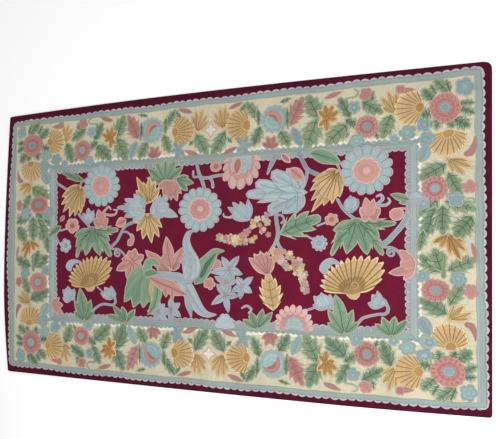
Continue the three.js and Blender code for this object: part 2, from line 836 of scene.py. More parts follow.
@dataclass(frozen=True)
class Blade(Shape):
    """A leaf or a petal.

    Attributes:
        base: Where it starts.
        tip: Where it ends.
        width: Its width at the belly.
        teeth: How many teeth each side has.
        notch: How far the notches between teeth cut in, as a share of the half width.
        bend: How far its spine bows to the left, as a share of its length.
        belly: How far along it is widest.
        ribbed: Whether veins are worked over it.
    """

    base: Point
    tip: Point
    width: float
    teeth: int = 0
    notch: float = 0.42
    bend: float = 0.0
    belly: float = 0.45
    ribbed: bool = True

    def spine(self, t: np.ndarray) -> np.ndarray:
        """Points of the spine.

        Args:
            t: The shares of its length at which they lie.

        Returns:
            The points, one a row.
        """
        base, tip = np.array(self.base, float), np.array(self.tip, float)
        reach = tip - base
        bow = np.array([-reach[1], reach[0]]) * self.bend * 2
        t = np.atleast_1d(t)[:, None]
        return base + reach * t + bow * t * (1 - t)

    def side(self, sign: int) -> np.ndarray:
        """The outline's points on one side, from base to tip.

        Args:
            sign: 1 for the left side and -1 for the right one.

        Returns:
            The points.
        """
        length = math.dist(self.base, self.tip)
        if self.teeth:
            t = (np.arange(self.teeth)[:, None] + TOOTH[None]).ravel() / self.teeth
            rise = np.tile(TOOTH, self.teeth)
            cut = 1 - self.notch * (1 - rise ** 0.9)
            forward = rise * 0.3 / self.teeth
        else:
            t = np.linspace(0, 1, max(5, round(length / 6)))
            cut = 1.0
            forward = 0.0
        power = math.log(0.5) / math.log(self.belly)
        half = self.width / 2 * np.maximum(np.sin(np.pi * t ** power), 0) ** 0.8 * cut
        spine = self.spine(t)
        slope = self.spine(t + 0.01) - self.spine(t - 0.01)
        slope /= np.linalg.norm(slope, axis=1, keepdims=True)
        normal = np.stack([-slope[:, 1], slope[:, 0]], 1) * sign
        lean = np.minimum(forward, 1 - t) if self.teeth else 0 * t
        return spine + normal * half[:, None] + slope * (lean * length)[:, None]

    def outline(self) -> np.ndarray:
        """The blade's outline: one side, then the other side back."""
        return np.vstack([self.side(-1), self.side(1)[::-1][1:-1]])

    def veins(self) -> list[Shape]:
        """A midrib, and a side vein into each tooth."""
        length = math.dist(self.base, self.tip)
        if not self.ribbed or length < 16:
            return []
        spine = self.spine(np.array([0.1, 0.35, 0.6, 0.82]))
        found = [Ribbon(tuple((*p, 2.4 - 0.4 * i) for i, p in enumerate(spine)), 12.0)]
        for tooth in range(1, self.teeth):
            root = self.spine(np.array([(tooth - 0.35) / self.teeth]))[0]
            for sign in (-1, 1):
                tip = self.side(sign)[len(TOOTH) * tooth - 1]
                found.append(line(root, root + (tip - root) * 0.72, 2.0))
        return found


@dataclass(frozen=True)
class Rosette(Shape):
    """A round flower seen from the front.

    Attributes:
        at: Its middle.
        radius: Its radius to the tips of its petals.
        petals: How many petals it has.
        notch: How far the notches cut in, as a share of the radius.
        turn: How far it is turned, in degrees.
        pointed: Whether its petals are pointed instead of round.
        veined: The shares of the radius between which lines part the petals, if they do.
        rows: The direction of its rows in degrees, where they don't go round its middle.
    """

    at: Point
    radius: float
    petals: int = 6
    notch: float = 0.22
    turn: float = 0.0
    pointed: bool = False
    veined: Point | None = None
    rows: float | None = None

    def outline(self) -> np.ndarray:
        """The flower's outline, petal by petal."""
        count = self.petals * (8 if self.radius > 24 else 6)
        turns = np.arange(count) / count * 2 * math.pi
        wave = np.abs(np.sin(turns * self.petals / 2))
        lobe = 1 - wave if self.pointed else wave ** 0.6
        reach = self.radius * (1 - self.notch * (1 - lobe))
        turns = turns + math.radians(self.turn)
        return np.array(self.at) + reach[:, None] * np.stack([np.cos(turns), np.sin(turns)], 1)

    def grain(self) -> Grain | None:
        """Rows that go round the middle, or straight across."""
        if self.rows is None:
            return None
        at = np.array(self.at)
        reach = turned(self.radius * 0.7, self.rows)
        return Grain(at, path=np.vstack([at - reach, at + reach]))

    def veins(self) -> list[Shape]:
        """The lines between petals."""
        if self.veined is None:
            return []
        first, last = self.veined
        turns = [self.turn + 360 * i / self.petals for i in range(self.petals)]
        at = np.array(self.at)
        return [line(at + turned(self.radius * first, turn), at + turned(self.radius * last, turn),
                     1.4, 2.0) for turn in turns]


@dataclass(frozen=True)
class Fan(Shape):
    """A fan of lobes from one point, such as a shell or a flower seen from the side.

    Attributes:
        base: The point that the lobes spread from.
        heading: The direction of its middle, in degrees from +x.
        spread: The angle between its two sides, in degrees.
        reach: Its reach at even steps from its right side to its left one.
        lobes: How many lobes it has.
        notch: How far the notches cut in, as a share of the reach.
        pointed: Whether its lobes are pointed instead of round.
        ribs: The shares of the reach between which ribs part the lobes, if they do.
        rib: The ribs' width at the rim.
    """

    base: Point
    heading: float
    spread: float
    reach: tuple[float, ...]
    lobes: int = 5
    notch: float = 0.2
    pointed: bool = False
    ribs: Point | None = None
    rib: float = 2.6

    def rim(self, share: np.ndarray) -> np.ndarray:
        """Points at the full reach, at shares of the way from the right side to the left one."""
        turns = np.radians(self.heading + (share - 0.5) * self.spread)
        reach = np.interp(share, np.linspace(0, 1, len(self.reach)), self.reach)
        return reach[:, None] * np.stack([np.cos(turns), np.sin(turns)], 1)

    def outline(self) -> np.ndarray:
        """The fan's outline, from its base round its lobes."""
        count = self.lobes * 7
        share = np.arange(count + 1) / count
        wave = np.abs(np.sin(share * self.lobes * math.pi))
        lobe = wave ** 1.6 if self.pointed else wave ** 0.6
        rim = self.rim(share) * (1 - self.notch * (1 - lobe))[:, None]
        return np.array(self.base) + np.vstack([[0.0, 0.0], rim])

    def veins(self) -> list[Shape]:
        """The ribs between lobes."""
        if self.ribs is None:
            return []
        first, last = self.ribs
        rims = self.rim(np.arange(1, self.lobes) / self.lobes)
        base = np.array(self.base)
        return [line(base + rim * first, base + rim * last, 1.4, self.rib) for rim in rims]


class Tip(NamedTuple):
    """One blade of a spray.

    Attributes:
        x: Where its tip is along the rug.
        y: Where its tip is across the rug.
        width: Its width at the belly.
        bend: How far its spine bows to the left, as a share of its length.
        teeth: How many teeth each side has.
    """

    x: float
    y: float
    width: float
    bend: float = 0.0
    teeth: int = 0


@dataclass(frozen=True)
class Spray:
    """A motif of blades from one base: a lobed leaf, a bell, a tulip or a lily.

    Attributes:
        base: Where the blades start.
        tips: The numbers of each blade's tip.
        tints: Its yarns.
        belly: How far along each blade is widest.
        ribbed: Whether veins are worked over the blades.
        core: The round patch that closes the middle, if not at the base, as its centre and radius.
    """

    base: Point
    tips: tuple[tuple[float, ...], ...]
    tints: Tints
    belly: float = 0.5
    ribbed: bool = True
    core: tuple[float, float, float] | None = None

    def draw(self, pattern: Pattern) -> None:
        """Works the motif on the pattern."""
        shapes: list[Shape] = [
            Blade(self.base, (tip.x, tip.y), tip.width, tip.teeth, bend=tip.bend,
                  belly=self.belly, ribbed=self.ribbed)
            for tip in (Tip(*numbers) for numbers in self.tips)]
        x, y, radius = self.core or (*self.base, 6.5)
        ahead = np.mean([numbers[:2] for numbers in self.tips], axis=0) - self.base
        rows = math.degrees(math.atan2(ahead[1], ahead[0]))
        shapes.append(Rosette((x, y), radius, 8, 0.04, rows=rows))
        pattern.embroider(shapes, self.tints)


@dataclass(frozen=True)
class Bloom:
    """A round flower with rings of other yarns in it.

    Attributes:
        flower: The outer ring of petals.
        tints: The yarns of its petals.
        rings: The rings inside, each as a share of the radius, a count of petals and a yarn.
    """

    flower: Rosette
    tints: Tints
    rings: tuple[tuple[float, int, Yarn], ...] = ()

    def draw(self, pattern: Pattern) -> None:
        """Works the flower on the pattern, from its petals to its heart."""
        pattern.embroider([self.flower], self.tints)
        for share, petals, yarn in self.rings:
            ring = Rosette(self.flower.at, self.flower.radius * share, petals, 0.16, 20.0)
            pattern.lay(ring.outline(), yarn, 0.6)


@dataclass(frozen=True)
class Figure:
    """Any shapes worked together in one set of yarns.

    Attributes:
        shapes: The shapes.
        tints: Their yarns.
        edge: The width of the edge row.
        hearts: Patches of other yarns inside them.
    """

    shapes: tuple[Shape, ...]
    tints: Tints
    edge: float = 4.0
    hearts: tuple[tuple[Shape, Yarn], ...] = ()

    def draw(self, pattern: Pattern) -> None:
        """Works the shapes on the pattern."""
        pattern.embroider(self.shapes, self.tints, self.edge, self.hearts)


def stem(*points: Point, width: float = 9.0, tints: Tints = STEM) -> Figure:
    """A plain stem through some points."""
    return Figure((Ribbon(tuple((x, y, width) for x, y in points)),), tints, 3.0)


def spiral(at: Point, radius: float, start: float, turns: float = 1.3) -> tuple[Point, ...]:
    """The points of a curl that winds in from its radius.

    Args:
        at: Its middle.
        radius: Its outer radius.
        start: The direction of its outer end, in degrees.
        turns: How many turns it makes, anticlockwise.

    Returns:
        The points, from the outer end in.
    """
    count = round(turns * 8)
    return tuple(tuple(np.array(at) + turned(radius * (1 - 0.75 * i / count), start + 45 * i))
                 for i in range(count + 1))


@dataclass
class Motifs:
    """A sub-assembly that is a list of motifs.

    Attributes:
        part: The sub-assembly.
        motifs: Its motifs, in the order in which they are worked.
    """

    part: Part
    motifs: tuple[Bloom | Spray | Figure, ...]

    def draw(self, pattern: Pattern) -> None:
        """Works the motifs on the pattern."""
        pattern.part = self.part
        for motif in self.motifs:
            motif.draw(pattern)


# The field


@dataclass
class Vines(Motifs):
    """The pale stems and curls that join the field's flowers."""

    part: Part = Part.VINES
    motifs: tuple[Figure, ...] = (
        stem((-568, 216), (-540, 196), (-514, 181), (-486, 186)),
        stem((-404, 204), (-436, 214), (-460, 206), (-466, 190), width=8),
        stem((-470, 100), (-448, 76), (-424, 50)),
        stem((-572, 44), (-542, 43), (-512, 50), width=7),
        stem((-556, 14), (-548, 0), (-532, -6), width=6),
        stem((-350, -18), (-327, 3), (-308, 28), (-293, 50), (-264, 64), (-236, 78), width=11),
        stem((-342, -20), (-318, -22), (-300, -34), (-290, -50), width=8),
        stem(*spiral((-321, -36), 13, 100), width=6.5),
        stem((-302, 34), (-284, 33), (-268, 20), width=7),
        stem((-428, -244), (-404, -217), (-372, -203), (-338, -205), (-325, -196), (-330, -176)),
        stem((-396, -148), (-382, -158), (-370, -166), width=6),
        stem((-45, 252), (-38, 216), (-24, 188), (-14, 160), width=12),
        stem((-38, 203), (-54, 204), (-57, 222), width=8),
        stem((-34, 200), (-8, 197), (24, 200), (64, 206), width=10),
        stem((-2, 198), (8, 184), (10, 166), width=9),
        stem((268, 254), (282, 226), (294, 203), (318, 190), (342, 178), width=13),
        stem((293, 205), (292, 180), (282, 154), width=10),
        stem((362, 226), (378, 214), (386, 196), width=7, tints=ROSE),
        stem((378, 118), (396, 84), (432, 52)),
        stem((205, 94), (205, 60), (210, 22), (206, 0), width=13),
        stem((208, 8), (198, -14), (186, -38), width=10),
        stem((206, 8), (214, -14), (228, -34), width=10),
        stem((206, 76), (222, 73), (229, 60), (220, 52), width=7),
        stem((204, 82), (186, 76), (170, 82), width=7), stem((324, 42), (352, 56), width=6),
        stem((292, 14), (314, 2), width=6),
        stem((490, -16), (516, 1), (540, 28), (558, 58), (566, 96), width=15),
        stem((498, -18), (524, -20), (542, -36), (552, -58), width=8),
        stem(*spiral((521, -34), 13, 100), width=6.5), stem((296, -200), (318, -192), width=7),
        stem((428, -240), (450, -215), (484, -204), (507, -201), (514, -188), (506, -164)),
        stem((536, 84), (556, 83), (563, 70), width=7, tints=ROSE),
    )


@dataclass
class Leaves(Motifs):
    """The field's green, gold and blue leaves."""

    part: Part = Part.LEAVES
    motifs: tuple[Spray | Figure, ...] = (
        # The two drooping vine leaves
        Spray((-418, 44), ((-314, 44, 34, -0.06, 3), (-350, 8, 42), (-344, -50, 40, 0.12, 3),
            (-384, -44, 38, 0.05), (-442, -44, 40, -0.05), (-480, -52, 34, -0.16, 3),
            (-482, -12, 42), (-487, 24, 40, 0.1)), GREEN, core=(-420, 26, 30)),
        Spray((432, 52), ((534, 44, 34, -0.06, 3), (492, 10, 42), (498, -44, 40, 0.12, 3),
            (458, -42, 38, 0.05), (404, -38, 40, -0.05), (364, -46, 34, -0.16, 3), (370, -8, 42),
            (365, 28, 40, 0.1)), GREEN, core=(430, 32, 30)),
        # The upright leaves under the shells
        Spray((-444, -262), ((-462, -152, 40), (-484, -196, 28), (-420, -190, 28), (-486, -232, 26),
            (-408, -226, 26)), GREEN, core=(-448, -216, 20)),
        Spray((398, -262), ((374, -152, 40), (352, -196, 28), (422, -190, 28), (350, -232, 26),
            (438, -226, 26)), GREEN, core=(392, -216, 20)),
        # The toothed leaf in the middle of the right half
        Figure((Blade((212, 22), (334, 68), 86, 4, notch=0.46),), GREEN),
        # Leaves cut by the guard
        Spray((-150, 186), ((-216, 208, 26), (-214, 244, 30), (-182, 262, 32), (-150, 268, 30),
            (-116, 262, 30), (-90, 238, 26)), GREEN),
        Spray((-116, 200), ((-52, 184, 26), (-72, 160, 24), (-70, 206, 20)), GREEN),
        Figure((Blade((-448, 208), (-540, 244), 34, 3),), GREEN),
        Figure((Blade((-540, 58), (-598, 24), 36, 3),), GREEN),
        Figure((Blade((296, 254), (392, 212), 44, 0, bend=0.12),), GREEN),
        Spray((-286, -262), ((-362, -240, 26), (-336, -206, 26), (-300, -206, 26),
            (-254, -214, 24)), GREEN),
        Spray((150, -262), ((106, -232, 26), (128, -206, 26), (166, -198, 26), (196, -206, 24)),
            GREEN),
        Spray((522, -264), ((480, -230, 26), (498, -208, 26), (530, -204, 26), (562, -212, 24)),
            GREEN),
        Spray((572, 108), ((518, 124, 24), (538, 100, 20)), GREEN),
        # The gold leaves
        Figure((Blade((-526, 96), (-545, 72), 18),), ROSE, 3.0),
        Spray((-462, 192), ((-520, 184, 22), (-541, 160, 26), (-543, 134, 26), (-535, 106, 26),
            (-508, 90, 28), (-484, 90, 26), (-462, 100, 26), (-449, 122, 24), (-445, 154, 20)),
            GOLD, core=(-488, 142, 32)),
        Spray((382, 198), ((340, 190, 20), (308, 168, 26), (302, 142, 26), (307, 114, 24),
            (306, 83, 24, 0.06), (340, 98, 28), (362, 104, 26), (384, 122, 24), (396, 152, 20)),
            GOLD, core=(356, 146, 32)),
        Spray((-206, 126), ((-254, 212, 24), (-254, 170, 24), (-246, 146, 20), (-228, 196, 24),
            (-204, 210, 26), (-184, 198, 24), (-170, 174, 24)), GOLD, core=(-214, 152, 24)),
        Spray((-212, 94), ((-256, 62, 24), (-250, 34, 26), (-228, 8, 26), (-196, -6, 26),
            (-172, 14, 26), (-160, 46, 24), (-168, 72, 20)), GOLD, core=(-206, 56, 28)),
        Figure((Blade((196, -204), (183, -94), 72, 5, notch=0.34, belly=0.42),), SOFT_GOLD),
        # The blue leaves
        Spray((-222, 112), ((-324, 114, 34, 0, 3), (-296, 144, 30), (-262, 160, 30),
            (-238, 150, 24), (-296, 82, 32), (-264, 64, 32)), BLUE, core=(-256, 110, 30),
            ribbed=False),
        Spray((-206, 106), ((-140, 146, 42, 0, 3), (-104, 76, 34, 0.12), (-152, 80, 32),
            (-178, 96, 30)), BLUE, core=(-160, 112, 24), ribbed=False),
        Figure((Blade((268, 150), (266, 78), 50), Blade((276, 132), (222, 78), 52),
            Blade((272, 134), (178, 86), 56, 2, notch=0.3), Blade((280, 146), (236, 212), 56),
            Blade((280, 142), (192, 206), 62, 2, notch=0.3),
            Blade((240, 140), (142, 176), 58, 2, notch=0.3),
            Blade((298, 140), (114, 142), 78, 4, notch=0.34)), SOFT_BLUE),
        Spray((606, 108), ((556, 122, 24), (552, 100, 22)), BLUE),
    )


@dataclass
class Shells:
    """The two great gold shells of the field, with their ribs.

    Attributes:
        bases: The point that each shell's ribs spread from.
        reach: How far the lobes reach, from the right side round to the left one.
        lobes: How many lobes each shell has.
    """

    bases: tuple[Point, ...] = ((-425, -152), (418, -152))
    reach: tuple[float, ...] = (44, 84, 112, 128, 120, 113, 108, 103, 100, 98, 96, 94, 89, 64)
    lobes: int = 17

    def draw(self, pattern: Pattern) -> None:
        """Works the shells on the pattern, each with a scroll at its foot."""
        pattern.part = Part.SHELLS
        for x, y in self.bases:
            shell = Fan((x, y), heading=96, spread=164, reach=self.reach, lobes=self.lobes,
                        notch=0.13, pointed=True, ribs=(0.26, 0.88), rib=3.2)
            foot = Rosette((x + 2, y + 6), 20, petals=8, notch=0.05)
            inner = Fan((x, y), 96, 150, tuple(r * 0.45 for r in self.reach), lobes=9, notch=0.1)
            pattern.embroider([shell, foot], GOLD, 4.4, [(inner, Yarn.TAN)])
            scroll = tuple((*p, 3.6) for p in spiral((x + 6, y + 26), 12, 250, 1.1))
            pattern.lay(Ribbon(scroll, 3.0).outline(), Yarn.GOLD, 0.5)


BIG_RINGS = ((0.54, 11, Yarn.BLUSH), (0.46, 11, Yarn.ROSE), (0.14, 5, Yarn.BLUSH))


def big_bloom(x: float, y: float, radius: float, tints: Tints = SOFT_BLUE) -> Bloom:
    """One of the big blue flowers with a rose heart."""
    flower = Rosette((x, y), radius, petals=15, notch=0.13, turn=5, veined=(0.62, 0.86))
    return Bloom(flower, tints, BIG_RINGS)


def small_bloom(x: float, y: float, radius: float, petals: int, tints: Tints,
                heart: Yarn) -> Bloom:
    """A small flower with a heart of another yarn."""
    return Bloom(Rosette((x, y), radius, petals, 0.2, 12), tints, ((0.34, 6, heart),))


@dataclass
class Flowers(Motifs):
    """The field's flowers, bells and buds."""

    part: Part = Part.FLOWERS
    motifs: tuple[Bloom | Spray | Figure, ...] = (
        big_bloom(-383, 190, 70, TEAL_BLUE), big_bloom(-33, 100, 71), big_bloom(456, 193, 70),
        small_bloom(-494, 60, 28, 5, ROSE, Yarn.MADDER),
        small_bloom(362, 60, 20, 6, ROSE, Yarn.MADDER),
        small_bloom(-523, -9, 24, 6, BLUE, Yarn.TEAL),
        small_bloom(330, -9, 24, 10, BLUE, Yarn.TEAL),
        Spray((-496, -198), ((-534, -188, 24), (-534, -160, 24), (-514, -148, 26), (-486, -154, 24),
            (-484, -178, 24)), BLUE, core=(-510, -175, 21), ribbed=False),
        Spray((352, -196), ((312, -184, 24), (314, -158, 24), (336, -146, 26), (362, -152, 24),
            (366, -178, 24)), BLUE, core=(340, -174, 22), ribbed=False),
        # Pink bells with their pale buds beside them
        Figure((Ribbon(((-372, 104, 9), (-356, 118, 9), (-346, 108, 6))), Ribbon(((-368, 92, 9),
            (-346, 90, 9), (-327, 93, 8), (-322, 105, 7), (-336, 108, 5)))), ROSE),
        Spray((-384, 50), ((-414, 84, 26), (-396, 114, 28), (-374, 110, 24), (-356, 82, 26),
            (-360, 56, 22), (-408, 58, 22)), ROSE, core=(-385, 76, 22), ribbed=False),
        Spray((-430, 62), ((-455, 104, 24), (-432, 121, 26), (-412, 112, 22)), BLUE,
            core=(-433, 88, 17), ribbed=False),
        Figure((Ribbon(((484, 96, 9), (500, 110, 10), (494, 124, 8), (484, 118, 6))),
            Ribbon(((488, 94, 9), (508, 93, 9), (518, 104, 7), (512, 114, 5)))), STEM),
        Spray((466, 56), ((440, 90, 26), (454, 118, 28), (478, 114, 24), (494, 88, 26),
            (490, 62, 22), (442, 64, 22)), ROSE, core=(466, 82, 22), ribbed=False),
        Spray((416, 74), ((396, 108, 22), (412, 127, 26), (434, 116, 24)), BLUE,
            core=(415, 102, 20), ribbed=False),
        # Blue bells on looped stems
        Spray((-338, -186), ((-386, -166, 24), (-370, -146, 26), (-346, -141, 24),
            (-330, -156, 20)), BLUE, core=(-354, -168, 16), ribbed=False),
        Spray((498, -184), ((460, -172, 22), (470, -148, 26), (484, -138, 22), (504, -156, 20)),
            BLUE, core=(484, -166, 15), ribbed=False),
        # The blue tulip
        Figure((Ribbon(((78, 76, 8), (60, 74, 7), (46, 78, 6), (44, 88, 4))),), STEM),
        Spray((126, 62), ((56, 106, 24), (72, 120, 26), (96, 122, 26), (122, 130, 22),
            (66, 80, 22)), BLUE, core=(96, 88, 25), ribbed=False),
        # Rose buds
        Figure((Blade((-286, 74), (-328, 56), 34),), ROSE),
        Figure((Ribbon(((-270, 26, 10), (-264, 12, 16), (-272, 0, 26), (-280, -6, 14))),), ROSE),
        Figure((Ribbon(((-462, -66, 8), (-482, -62, 14), (-500, -68, 24), (-508, -80, 28),
            (-502, -91, 12))),), BLUE),
        Figure((Ribbon(((386, -64, 9), (366, -58, 17), (350, -66, 26), (342, -80, 28),
            (348, -92, 12))),), BLUE),
        Bloom(Rosette((20, 230), 19, 7, 0.05), ROSE, ((0.4, 5, Yarn.MADDER),)),
        Bloom(Rosette((22, -70), 18, 6, 0.08), ROSE),
        Bloom(Rosette((0, -130), 20, 5, 0.24, 30), ROSE),
        Bloom(Rosette((534, 68), 19, 8, 0.05), ROSE),
        Figure((Blade((246, 212), (286, 176), 36, bend=-0.08),), ROSE),
        Figure((Blade((220, 256), (248, 226), 20),), ROSE),
        Figure((Ribbon(((206, 254, 18), (192, 228, 15), (180, 198, 6))),), STEM),
        # The rose maple leaf, the lily and the tulip
        Spray((-266, -62), ((-280, -24, 32), (-254, -18, 32), (-222, -42, 30), (-230, -80, 28),
            (-256, -108, 28), (-288, -120, 28), (-326, -94, 32), (-308, -54, 28)), ROSE,
            core=(-268, -62, 32)),
        Spray((-128, -92), ((-218, -26, 36, 0.05), (-148, 18, 38), (-88, -14, 34), (-178, -84, 28),
            (-100, -60, 26)), ROSE, core=(-140, -56, 24)),
        Spray((184, -104), ((122, -46, 32), (138, -34, 28), (158, -27, 28), (178, -29, 28),
            (194, -44, 26)), ROSE, core=(162, -56, 22)),
        Spray((-134, 196), ((-176, 170, 26), (-158, 146, 26), (-130, 132, 26), (-108, 128, 24),
            (-94, 152, 24), (-104, 176, 22)), ROSE, core=(-136, 168, 24), ribbed=False),
        # Half flowers cut by the guard
        Figure((Fan((98, 260), -90, 170, (48, 62, 94, 110, 100, 86, 70, 60), 9, 0.16,
            ribs=(0.66, 0.9)),), PALE_ROSE),
        Figure((Fan((98, 260), -90, 170, (36, 44, 68, 80, 74, 62, 48, 40), 8, 0.12),), ROSE, 2.0),
        Figure((Fan((98, 260), -90, 170, (30, 36, 54, 62, 58, 48, 38, 32), 8, 0.12),), BLUE, 3.0),
        Figure((Blade((88, 258), (84, 196), 28),), Tints(Yarn.BLUSH, Yarn.MADDER, Yarn.ROSE)),
        Figure((Fan((258, -258), 92, 186, (56, 60, 68, 73, 75, 73, 68, 60, 56), 11, 0.16,
            ribs=(0.7, 0.9)),), PALE_ROSE),
        Figure((Fan((258, -258), 92, 190, (46, 48, 52, 54, 54, 52, 48, 46), 9, 0.12),), ROSE, 2.4),
        Figure((Fan((260, -258), 92, 188, (28, 32, 38, 42, 42, 38, 32, 28), 7, 0.12),), BLUE, 3.0),
        Spray((-582, -214), ((-544, -186, 26), (-528, -212, 28), (-526, -242, 26)), ROSE,
            core=(-560, -214, 20), ribbed=False),
        Spray((584, -66), ((540, -26, 26), (512, -92, 28, 0.1), (552, -110, 24)), ROSE,
            core=(564, -66, 22), ribbed=False),
        Figure((Fan((50, -264), 90, 170, (32, 40, 46, 40, 32), 6, 0.1),), BLUE),
        Figure((Ribbon(((104, -202, 6), (118, -194, 8), (132, -202, 8), (124, -214, 5))),), STEM),
    )


@dataclass
class Stars:
    """The pale blue star lilies, each of narrow petals from one middle.

    Attributes:
        stars: Each star's petals, as its middle and its tips.
        width: How wide a petal is.
    """

    stars: tuple[tuple[Point, tuple[Point, ...]], ...] = (
        ((54, -122), ((16, -106), (28, -148), (62, -156), (88, -118), (66, -90), (34, -88))),
        ((62, -82), ((40, -46), (92, -44), (104, -98), (74, -122), (2, -96), (32, -118))),
        ((50, -164), ((4, -194), (62, -218), (94, -166), (64, -126), (22, -128))),
        ((102, -134), ((138, -106), (136, -156), (98, -176), (68, -152), (84, -104))),
        ((-126, -212), ((-128, -170), (-94, -190), (-92, -234), (-128, -254), (-162, -226))),
        ((-172, -222), ((-172, -182), (-148, -196), (-142, -246), (-186, -256), (-214, -222))),
    )
    width: float = 23.0

    def draw(self, pattern: Pattern) -> None:
        """Works the stars on the pattern."""
        pattern.part = Part.FLOWERS
        for centre, tips in self.stars:
            petals = [Blade(centre, tip, self.width, belly=0.42) for tip in tips]
            pattern.embroider(petals, STAR, 3.4)
            pattern.lay(Rosette(centre, 5.0, 5, 0.1).outline(), Yarn.ROSE, 0.5)


@dataclass
class Sprigs:
    """The loose sprigs of small rose, straw and cream blossoms.

    Attributes:
        paths: The points that each sprig follows, each with how far blossoms stray there.
        pitch: The distance between two blossoms along a sprig.
    """

    paths: tuple[tuple[tuple[float, float, float], ...], ...] = (
        ((30, 12, 3), (60, 4, 8), (92, 2, 12), (120, 16, 20), (140, 32, 30), (164, 42, 34),
         (182, 40, 26)),
        ((202, -34, 8), (224, -50, 22), (250, -66, 30), (274, -80, 24), (283, -112, 13),
         (286, -142, 4)),
    )
    pitch: float = 7.6

    def draw(self, pattern: Pattern) -> None:
        """Works the sprigs on the pattern."""
        pattern.part = Part.FLOWERS
        dice = random.Random(11)
        yarns = (Yarn.ROSE, Yarn.STRAW, Yarn.BLUSH, Yarn.GOLD, Yarn.ROSE, Yarn.CREAM, Yarn.SAGE)
        for path in self.paths:
            for step, (x, y, stray) in enumerate(along(path, self.pitch)):
                for side in (-1, 1):
                    at = (x + dice.uniform(-6, 6), y + side * dice.uniform(0.15, 1) * stray)
                    yarn = yarns[(2 * step + side) % len(yarns)]
                    size = dice.uniform(7.5, 13.5)
                    outline = Rosette(at, size, 5, 0.34, dice.uniform(0, 72)).outline()
                    pattern.lay(outline, yarn, 0.8)


@dataclass
class Bird:
    """The long-tailed bird: blue body and raised neck, green wings and a rose breast.

    Attributes:
        shoulder: Where the feathers of the great green wing start.
        wing: The tips of those feathers, each with the feather's width.
    """

    shoulder: Point = (-206, -72)
    wing: tuple[tuple[float, ...], ...] = (
        (-268, -112, 40), (-288, -138, 44), (-292, -166, 44), (-294, -194, 46),
        (-262, -212, 48), (-226, -214, 46), (-206, -196, 44))

    def draw(self, pattern: Pattern) -> None:
        """Works the bird on the pattern, from its far wing to its tail."""
        pattern.part = Part.BIRD
        far_wing = Ribbon(((-38, -116, 50), (-18, -80, 54), (2, -52, 42), (20, -32, 26),
                           (46, -30, 5)), ribbed=True)
        pattern.embroider([far_wing], WING, 4.2)
        stripe = Ribbon(((-26, -108, 12), (-10, -76, 14), (6, -52, 10), (20, -36, 3)))
        pattern.lay(stripe.outline(), Yarn.FOREST, 0.7, stripe.grain())
        Spray(self.shoulder, self.wing, WING, belly=0.6).draw(pattern)
        hook = Ribbon(((-214, -92, 36), (-206, -66, 32), (-186, -62, 24), (-166, -72, 7)))
        pattern.embroider([hook], GREEN)
        feathers = [Ribbon(((-176, -126, 26), (-178, -170, 34), (-190, -206, 28), (-210, -232, 6)),
                           ribbed=True)]
        pattern.embroider(feathers, GREEN)
        pattern.embroider([Ribbon(((-192, -112, 12), (-198, -150, 15), (-196, -186, 6)))], GOLD)
        tail = [Ribbon(((-96, -116, 40), (-66, -156, 46), (-40, -200, 36), (-12, -222, 22),
                        (22, -222, 4)), ribbed=True),
                Ribbon(((-72, -150, 22), (-66, -196, 24), (-60, -236, 5)), ribbed=True)]
        pattern.embroider(tail, BLUE)
        breast = Ribbon(((-204, -108, 8), (-168, -130, 38), (-128, -146, 44), (-76, -164, 8)),
                        ribbed=True)
        pattern.embroider([breast], ROSE)
        barbs = [Blade((-150, -146), (-146, -178), 20), Blade((-126, -150), (-122, -184), 18)]
        pattern.embroider(barbs, ROSE)
        body = [Ribbon(((-206, -98, 14), (-160, -104, 24), (-110, -112, 30), (-70, -122, 22),
                        (-42, -112, 6)), ribbed=True),
                Ribbon(((-74, -122, 34), (-62, -92, 62), (-62, -60, 58), (-72, -24, 36),
                        (-76, 6, 25), (-67, 28, 17), (-50, 38, 4)), ribbed=True),
                Blade((-56, -84), (-99, -56), 26), Blade((-58, -64), (-94, -34), 24)]
        pattern.embroider(body, BLUE)
        pattern.embroider([Ribbon(((-216, -102, 26), (-196, -96, 27), (-172, -97, 8)))], GREEN)
        for side in (-1, 1):
            x = -62 + 15 * side
            stripe = Ribbon(((x, -98, 4), (x, -70, 6), (-70 + 7.5 * side, -30, 2)))
            pattern.lay(stripe.outline(), Yarn.LILAC, 0.5, stripe.grain())


# The border


def border_leaf(base: Point, tip: Point, width: float, teeth: int = 4) -> Figure:
    """A toothed green leaf of the border."""
    end = (base[0] + (tip[0] - base[0]) * 1.06, base[1] + (tip[1] - base[1]) * 1.06)
    return Figure((Blade(base, end, width * 1.3, teeth, notch=0.44),), BORDER_GREEN, 3.4)


def border_bud(base: Point, tip: Point, width: float) -> Figure:
    """A slim rose bud of the border."""
    return Figure((Blade(base, tip, width, ribbed=False),), BORDER_ROSE, 3.0)


def border_bloom(x: float, y: float, radius: float, petals: int = 14) -> Bloom:
    """A rose flower of the border with a blue heart."""
    flower = Rosette((x, y), radius, petals, notch=0.12, turn=10, veined=(0.68, 0.88))
    rings = ((0.6, 12, Yarn.MADDER), (0.5, 10, Yarn.DUSTY), (0.34, 8, Yarn.DUSK))
    return Bloom(flower, BORDER_ROSE, rings)


def border_shell(x: float, y: float, heading: float, sweep: float,
                 reach: tuple[float, ...], lobes: int = 13) -> Figure:
    """A gold shell of the border, deeper in colour towards its hinge.

    Args:
        x: Its hinge, along the rug.
        y: Its hinge, across the rug.
        heading: The direction in which it opens, in degrees.
        sweep: The angle between its outermost lobes, in degrees.
        reach: How far its lobes reach from the hinge.
        lobes: How many lobes it has.

    Returns:
        The shell.
    """
    shell = Fan((x, y), heading, sweep, reach, lobes, notch=0.08, pointed=True,
                ribs=(0.34, 0.93), rib=2.4)
    short = tuple(span * 0.28 for span in reach)
    hinge = Fan((x, y), heading, sweep * 0.94, short, lobes=7, notch=0.1)
    return Figure((shell,), SOFT_GOLD, 4.2, ((hinge, Yarn.AMBER),))


